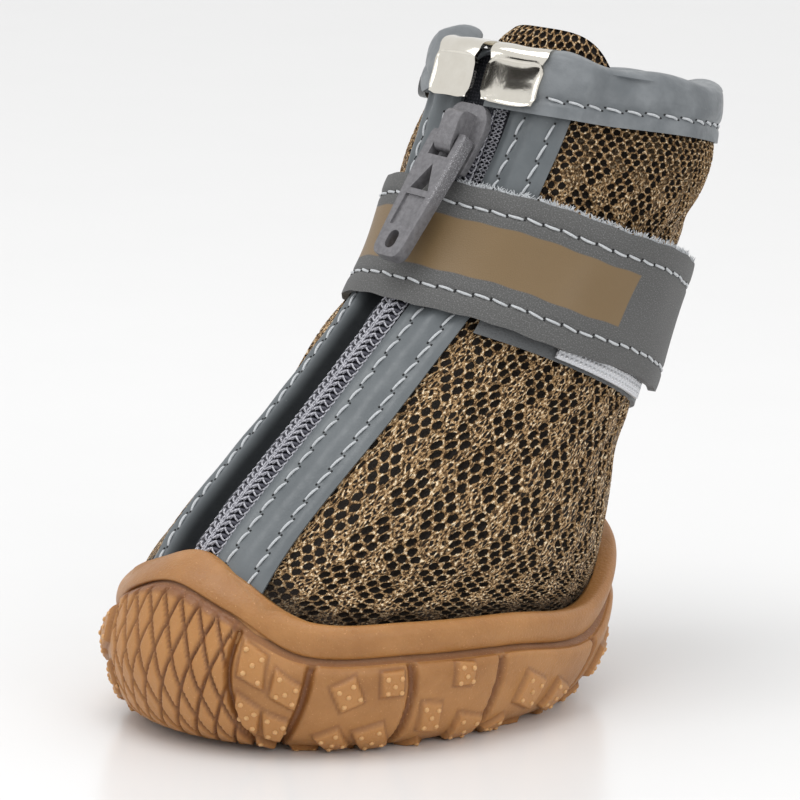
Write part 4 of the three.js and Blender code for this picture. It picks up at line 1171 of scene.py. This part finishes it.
def folded(s, turn_at, drop_outer, drop_inner, outer, inner, high, square=1.0, flatten=1.0):
    """A long U at s from 0, the outer lower edge, to 1, the inner one; it turns over the top between
    the two shares turn_at. Returns the drop on the outside, the drop below the collar's edge and the
    height off the upper."""
    a, b = turn_at
    turn = np.clip((s - a) / (b - a), 0, 1) * np.pi
    reach = np.sign(np.cos(turn)) * np.abs(np.cos(turn)) ** square
    drop_out = drop_outer * (1 - np.clip(s / a, 0, 1))
    drop_in = drop_inner * np.clip((s - b) / (1 - b), 0, 1)
    over = -high * np.abs(np.sin(turn)) ** flatten
    drop = np.where(s < a, drop_out, np.where(s > b, drop_in, over))
    bend = (outer + inner) / 2 + (outer - inner) / 2 * reach
    return drop_out, drop, np.where(s < a, outer, np.where(s > b, inner, bend))


def binding_point(s, w, skin):
    """Point of the binding, w mm round the collar; skin is 1 on its outer face and 0 on its inner
    one. Its outer leaf swells between seam and edge, and waves a little away from the zip."""
    near = np.minimum(w, COLLAR_ROUND - w)
    edge = opening_half(COLLAR) + FACING
    rise = OVER_FACING + (BIND_ROOM - OVER_FACING) * smooth(edge + 0.6, edge + 3.2, near)
    high = BIND_TOP * (0.35 + 0.65 * skin) + 0.35 * np.sin(w * 0.33) * skin * smooth(10, 20, near)
    outer, inner = rise + BIND_THICK * skin, -WALL - BIND_ROOM - BIND_THICK * skin
    drop_out, drop, off = folded(s, BIND_TURN, BIND_DROP, BIND_INNER_DROP, outer, inner, high)
    seam = np.exp(-(((drop_out - BIND_SEAM) / 0.5) ** 2))
    swell = np.sin(np.pi * np.clip((BIND_SEAM - drop_out) / BIND_SEAM, 0, 1))
    wavy = 0.32 * np.sin(w * 0.21 + 1.0) + 0.2 * np.sin(w * 0.57) * np.cos(drop_out * 0.5)
    off = off + (skin * (0.42 * swell - 0.28 * seam) + wavy * smooth(12, 18, near)) * (s < BIND_TURN[0])
    drop = drop + 0.25 * np.sin(w * 0.16) * (s < 0.3) * smooth(12, 20, near)
    place = COLLAR - drop / STEP_MM
    angle = angle_beside(place, w)
    from_peak = turned(angle, -57)
    bulge = 1.3 * np.exp(-((from_peak / 13) ** 2)) * smooth(-9, -4, from_peak)
    lift = collar_lift(angle) + bulge * np.clip(1 - drop / 4.5, 0, 1)
    return shaft(place + lift / STEP_MM, angle, off + collar_press(COLLAR, angle))


s = np.linspace(0, 1, 64)[None]
w = np.linspace(BIND_END, COLLAR_ROUND - BIND_END, 420)[:, None]
binding = slab(binding_point(s, w, 1.0), binding_point(s, w, 0.0))
piece("collar_binding_fold", *binding, fold_material, "leatherette", sharp=55, stands_for="collar_binding")

# %% [markdown]
# ## Nickel clips
# A folded nickel plate is crimped over each end of the binding, so the zip can't tear it. Each is a
# U-shaped sheet with pressed, slightly rounded edges. Bright metal shows only what is round it, so
# the faces are a little dished, and that bends the reflections.

# %% Clips
CLIP_SHEET, CLIP_FROM, CLIP_TO, CLIP_DROP, CLIP_INNER_DROP = 0.6, 0.8, 7.9, 6.6, 4.2
nickel = Finish("nickel_plate", roughness=0.12, Metallic=1.0)
where = nickel.place()
smear = nickel.noise(where, 0.5, 3.0)
nickel_material = nickel.finish(
    colour=nickel.mix(smear, (0.70, 0.66, 0.58), (0.82, 0.79, 0.72)),
    roughness=nickel.plus(0.06, nickel.times(nickel.noise(where, 4.0, 4.0, 0.7), 0.08)),
    normal=nickel.bump(smear, 0.04, 0.5),
)


def clip_point(side, s, t, skin):
    """Plate over the binding's end: s as for the fold, t from its inner end to its outer end, skin
    1 on the outer face and 0 on the inner one. Corners are cut back, the face is dished and its
    rim stands proud."""
    out = BIND_THICK + GAP + CLIP_SHEET * skin
    drop_out, drop, off = folded(
        s,
        (0.52, 0.68),
        CLIP_DROP,
        CLIP_INNER_DROP,
        OVER_FACING + out,
        -WALL - BIND_ROOM - out,
        BIND_TOP + GAP + CLIP_SHEET * skin,
        square=0.45,
        flatten=0.6,
    )
    x, y = t * 2 - 1, drop_out / CLIP_DROP * 2 - 1
    front = s < 0.52
    off = off - 0.30 * (1 - np.abs(x) ** 3) * (1 - np.abs(y) ** 3) * front
    off = off + 0.07 * smooth(0.80, 0.97, np.maximum(np.abs(x), np.abs(y))) * front * skin
    corner = smooth(1.5, 1.98, np.abs(x) + np.abs(y)) * front
    reach = (CLIP_TO - CLIP_FROM) * (t - 0.045 * corner * np.sign(x))
    w = side * (CLIP_FROM + reach + 0.05 * np.sin(drop * 1.3))
    place = COLLAR - (drop - 0.25 * corner * np.sign(y) + 0.06 * np.sin(x * 4 + side)) / STEP_MM
    return beside(place, w, off)


s, t = np.linspace(0, 1, 90)[:, None], np.linspace(0, 1, 40)[None]
for side, name in SIDES:
    clip = slab(clip_point(side, s, t, 1.0), clip_point(side, s, t, 0.0))
    piece(f"clip_{name}_plate", *clip, nickel_material, "nickel", sharp=60, stands_for=f"clip_{name}")

# %% [markdown]
# ## Ankle strap
# Three layers lie in slanting planes: a dark base strap sewn round the back, a short white hook
# tape, and the grey reflective strap that closes over them on the wearer's left. Each is a slab
# between two levels of those planes. The reflective strap has a fine glass-bead grain, a plain tan
# printed bar, two rows of stitches and a cut upper edge that frays.

# %% Strap surfaces
STRAP_TILT, STRAP_Y, STRAP_Z = math.radians(24.7), 9.0, 62.0
OUTER_LOW, OUTER_HIGH, STRAP_FROM, STRAP_TO = -9.3, 8.4, -190.0, 44.0
STRAP_THICK, HOOK_THICK = 1.0, 0.6
ROUND_STRAP = 22.0  # mm of the strap for each radian
OUTER_RISE = rows(
    "at rise",
    (-190, 1.65),
    (-174, 1.65),
    (-158, 0.4),
    (-138, 0.4),
    (-122, 1.8),
    (-90, 2.2),
    (-64, 1.8),
    (-44, 1.8),
    (-24, 2.7),
    (20, 2.7),
    (44, 2.9),
)


def band_point(degrees, level, rise, off, low, high):
    """Point of a strap: its lower and upper edges lie in the planes, and it is straight between."""
    angle = np.radians(degrees)

    def place_at(edge):
        """Place where the shaft, grown by rise, reaches a level of the strap's planes."""

        def is_below(place):
            p = shaft(place, angle, rise)
            y, z = p[..., 1] - STRAP_Y, p[..., 2] - STRAP_Z
            return y * math.sin(STRAP_TILT) + z * math.cos(STRAP_TILT) < edge

        return sum(halving(np.full(angle.shape, 1.0), np.full(angle.shape, 6.5), is_below, 26)) / 2

    bottom, top = place_at(low), place_at(high)
    return shaft(bottom + (top - bottom) * (level - low) / (high - low), angle, rise + off)


def outer_point(degrees, level, skin):
    """Point of the reflective strap; skin is 1 on its face and 0 on its back."""
    degrees, level = np.broadcast_arrays(np.asarray(degrees, float), np.asarray(level, float))
    share = (level - OUTER_LOW) / (OUTER_HIGH - OUTER_LOW)
    edge = np.minimum(share, 1 - share) * (OUTER_HIGH - OUTER_LOW)
    crown = 0.35 * (1 - np.exp(-edge / 1.2)) - 0.22 * np.exp(-(((edge - 3.0) / 0.45) ** 2))
    ripple = 0.10 * np.sin(degrees * 0.19) * np.sin(level * 0.25 + 1)
    wave = level + 0.16 * np.sin(degrees * 0.11 + 0.7) + 0.07 * np.sin(degrees * 0.43)
    wave = wave + 1.1 * smooth(-30, 44, degrees)
    rise = through(OUTER_RISE, degrees)["rise"]
    return band_point(degrees, wave, rise, STRAP_THICK * skin - 0.25 + crown + ripple, OUTER_LOW, OUTER_HIGH)


# %% Reflective cloth with a printed bar
PRINT = [tuple(math.radians(x) * ROUND_STRAP for x in (-128, -4.5)), (-4.0, 3.5)]
PRINT_SOFT = 0.12
reflect = Finish("reflective_strap", roughness=0.55, Specular_IOR_Level=0.35)
bead = reflect.noise(reflect.flat(), 5.0, 2.0, 0.8)
cloud = reflect.noise(reflect.flat(), 0.10, 3.0)
printed = reflect.times(
    *(
        reflect.less(*(reflect.step(edge - PRINT_SOFT, edge + PRINT_SOFT, value) for edge in limits))
        for value, limits in zip(reflect.parts(reflect.flat()), PRINT)
    )
)
grey = reflect.mix(cloud, (0.078, 0.078, 0.077), (0.100, 0.100, 0.098))
grey = reflect.mix(reflect.step(0.48, 0.72, bead), grey, (0.26, 0.26, 0.26), 0.6)
tan = reflect.mix(cloud, (0.180, 0.118, 0.056), (0.210, 0.141, 0.070))
strap_material = reflect.finish(
    colour=reflect.mix(printed, grey, tan),
    roughness=reflect.less(0.58, reflect.times(printed, 0.18)),
    normal=reflect.bump(bead, 0.05, 0.7),
)
degrees = np.linspace(STRAP_FROM, STRAP_TO, 300)[:, None]
level = np.linspace(OUTER_LOW, OUTER_HIGH, 60)[None]
piece(
    "strap_reflective",
    *slab(outer_point(degrees, level, 1.0), outer_point(degrees, level, 0.0)),
    strap_material,
    "reflective_strap",
    flat=(np.radians(degrees) * ROUND_STRAP, level),
    sharp=50,
    stands_for="strap_outer",
)


# %% Base strap and hook tape
def plain_band(node, ends, low, high, rise, thick, finish, slot):
    """A sewn-on strap of even thickness between two angles and two levels."""
    degrees, level = np.broadcast_arrays(np.linspace(*ends, 220)[:, None], np.linspace(low, high, 24)[None])
    crown = 0.15 * (1 - np.abs(2 * (level - low) / (high - low) - 1) ** 6)
    faces = [band_point(degrees, level, rise, off, low, high) for off in (thick - 0.15 + crown, 0.0)]
    flat = (np.radians(degrees) * 20, level)
    piece(f"{node}_cloth", *slab(*faces), finish, slot, flat=flat, sharp=50, stands_for=node)


web_material = two_tone(
    "dark_loop_cloth",
    (0.075, 0.079, 0.082),
    (0.150, 0.157, 0.162),
    (3.2, 4.0, 0.7),
    on="flat",
    relief=0.18,
    roughness=0.85,
    Sheen_Weight=0.3,
)
hook_material = two_tone(
    "hook_tape", (0.66, 0.67, 0.70), (0.93, 0.93, 0.95), (0.42,), on="weave", relief=0.3, roughness=0.6
)
plain_band("strap_base", (-52, 182), -10.9, 6.8, GAP, STRAP_THICK, web_material, "strap_webbing")
plain_band("hook_tape", (-20, 31), -10.6, 6.2, 2 * GAP + STRAP_THICK, HOOK_THICK, hook_material, "hook_tape")

# %% [markdown]
# ## Stitches and frayed threads
# A lockstitch shows as short thick bars that rise out of one needle hole and dive into the next.
# Each bar is a tube that arches over the cloth and thins at its ends, and each needle hole is a dark
# tube of painted shade. All the bars of a row come from one formula along the seam, and a row is
# left out where another piece hides it.

# %% White thread
white_material = two_tone(
    "white_thread",
    (0.36, 0.38, 0.40),
    (0.70, 0.72, 0.74),
    (3.5, 2.0),
    relief=0.10,
    roughness=0.6,
    Sheen_Weight=0.3,
)
# Painted shade: near-black tubes stand for the shadow inside each needle hole.
hole_material = two_tone("needle_hole", (0.010, 0.010, 0.011), (0.030, 0.031, 0.033), (4.0,), roughness=0.9)
STITCH_RADIUS, STITCH_HIGH = 0.19, 0.17


def seam(name, point, fine, pitch, fill=0.88, slant=0.50, slot="leatherette"):
    """Stitches along a seam on a surface, point(q, shift): q runs along the seam through the values
    fine, and shift is mm to its side. Each stitch covers a part of the pitch, arches and tapers."""
    track = length_along(point(fine, 0 * fine))

    def on_cloth(x, shift):
        """Point x mm along the seam, and the outward direction there."""
        q = np.interp(x, track, fine)
        here = point(q, shift)
        outward = unit(np.cross(point(q + (fine[1] - fine[0]), shift) - here, point(q, shift + 0.3) - here))
        axis = np.stack([0 * q, 0 * q + through(SHAFT, 4.0)["y"], here[..., 2]], -1)
        return here, outward * np.sign(np.sum(outward * (here - axis), -1, keepdims=True))

    starts = np.arange(0.4, track[-1] - pitch, pitch)
    starts = starts + rng.uniform(-0.06, 0.06, len(starts))
    s = np.linspace(0, 1, 9)
    x = starts[:, None] + s[None] * pitch * fill
    sway = slant * (s - 0.5)[None] + rng.uniform(-0.05, 0.05, (len(starts), 1))
    points, outward = on_cloth(x, sway)
    arch = (np.sin(np.pi * s) ** 0.6 * (STITCH_HIGH + 0.22) - 0.20)[None, :, None]
    thick = STITCH_RADIUS * (0.55 + 0.45 * np.sin(np.pi * s) ** 0.5)
    ends, end_sway = (np.concatenate([a[:, 0], a[:, -1]])[:, None] for a in (x, sway))
    # Dark tubes at both ends of each stitch: painted shade in the needle holes.
    holes_at, hole_up = on_cloth(ends + np.array([-0.16, 0.0, 0.16]), np.repeat(end_sway, 3, 1))
    holes_here = tubes(holes_at, hole_up, np.array([0.10, 0.17, 0.10]), 6)
    piece(name.replace("stitch", "needle_holes"), *holes_here, hole_material, slot)
    piece(name, *tubes(points + outward * arch, outward, thick, 6), white_material, slot)


FACING_SEAMS = (
    (1, "left_1", 2.1, ZIP_FOOT + 0.02),
    (1, "left_2", 6.3, ZIP_FOOT + 0.02),
    (-1, "right_1", 5.4, ZIP_FOOT + 0.02),
    (-1, "right_2", 2.2, 3.95),
)
for side, name, e, start in FACING_SEAMS:
    on_facing = lambda q, shift: facing_point(side, q, e + shift)
    seam(f"stitch_facing_{name}", on_facing, np.linspace(start, 5.5, 600), 2.9)

on_binding = lambda q, shift: binding_point(BIND_TURN[0] * (1 - (BIND_SEAM + shift) / BIND_DROP), q, 1.0)
seam("stitch_binding", on_binding, np.linspace(8.6, COLLAR_ROUND - 8.6, 900), 2.8)

fine = np.linspace(STRAP_FROM + 1, STRAP_TO - 1, 900)
for number, level in enumerate((OUTER_LOW + 3.0, OUTER_HIGH - 3.0), 1):
    on_strap = lambda q, shift: outer_point(q, level + shift, 1.0)
    seam(f"stitch_strap_{number}", on_strap, fine, 2.5, fill=1.02, slant=-0.30, slot="reflective_strap")

# %% Frayed edge
FRAY = 620
at = rng.uniform(-84, 43, FRAY)
edge = outer_point(at, OUTER_HIGH - 0.05, 0.7)
above = unit(outer_point(at, OUTER_HIGH + 1.0, 0.7) - edge)
along = unit(outer_point(at + 1.0, OUTER_HIGH, 0.7) - edge)
outward = unit(outer_point(at, OUTER_HIGH, 2.0) - edge)
reach, lean, out_lean, bend = (
    rng.uniform(low, high, (FRAY, 1)) for low, high in ((0.2, 0.95), (-0.9, 0.9), (-0.1, 0.5), (-0.35, 0.35))
)
hair_way = unit(above + along * lean + outward * out_lean) * reach
s = np.linspace(0, 1, 4)[None, :, None]
hair = edge[:, None] + hair_way[:, None] * s + (along * bend)[:, None] * s**2
fray = tubes(hair, np.repeat(outward[:, None], 4, 1), np.array([0.075, 0.07, 0.06, 0.03]), 4)
piece("strap_fray", *fray, white_material, "reflective_strap")

# %% [markdown]
# ## Insole
# The foam insole lies in the cup. Its CAD shape is plain and right, so it keeps it and gets a
# knitted cover finish.

# %% Insole
foam = Finish("insole_knit", roughness=0.9, Sheen_Weight=0.3)
where = foam.place()
foam_grain = foam.noise(where, 1.4, 4.0, 0.7)
foam_rows = foam.node("TexWave", Vector=where, Scale=0.5, Distortion=1.0)
foam_material = foam.finish(
    colour=foam.mix(foam_grain, (0.045, 0.035, 0.028), (0.10, 0.078, 0.06)),
    normal=foam.bump(foam.plus(foam_grain, foam_rows), 0.2),
)
insole = rounded_copy("insole", "insole_foam", 0.5, foam_material, BODY)
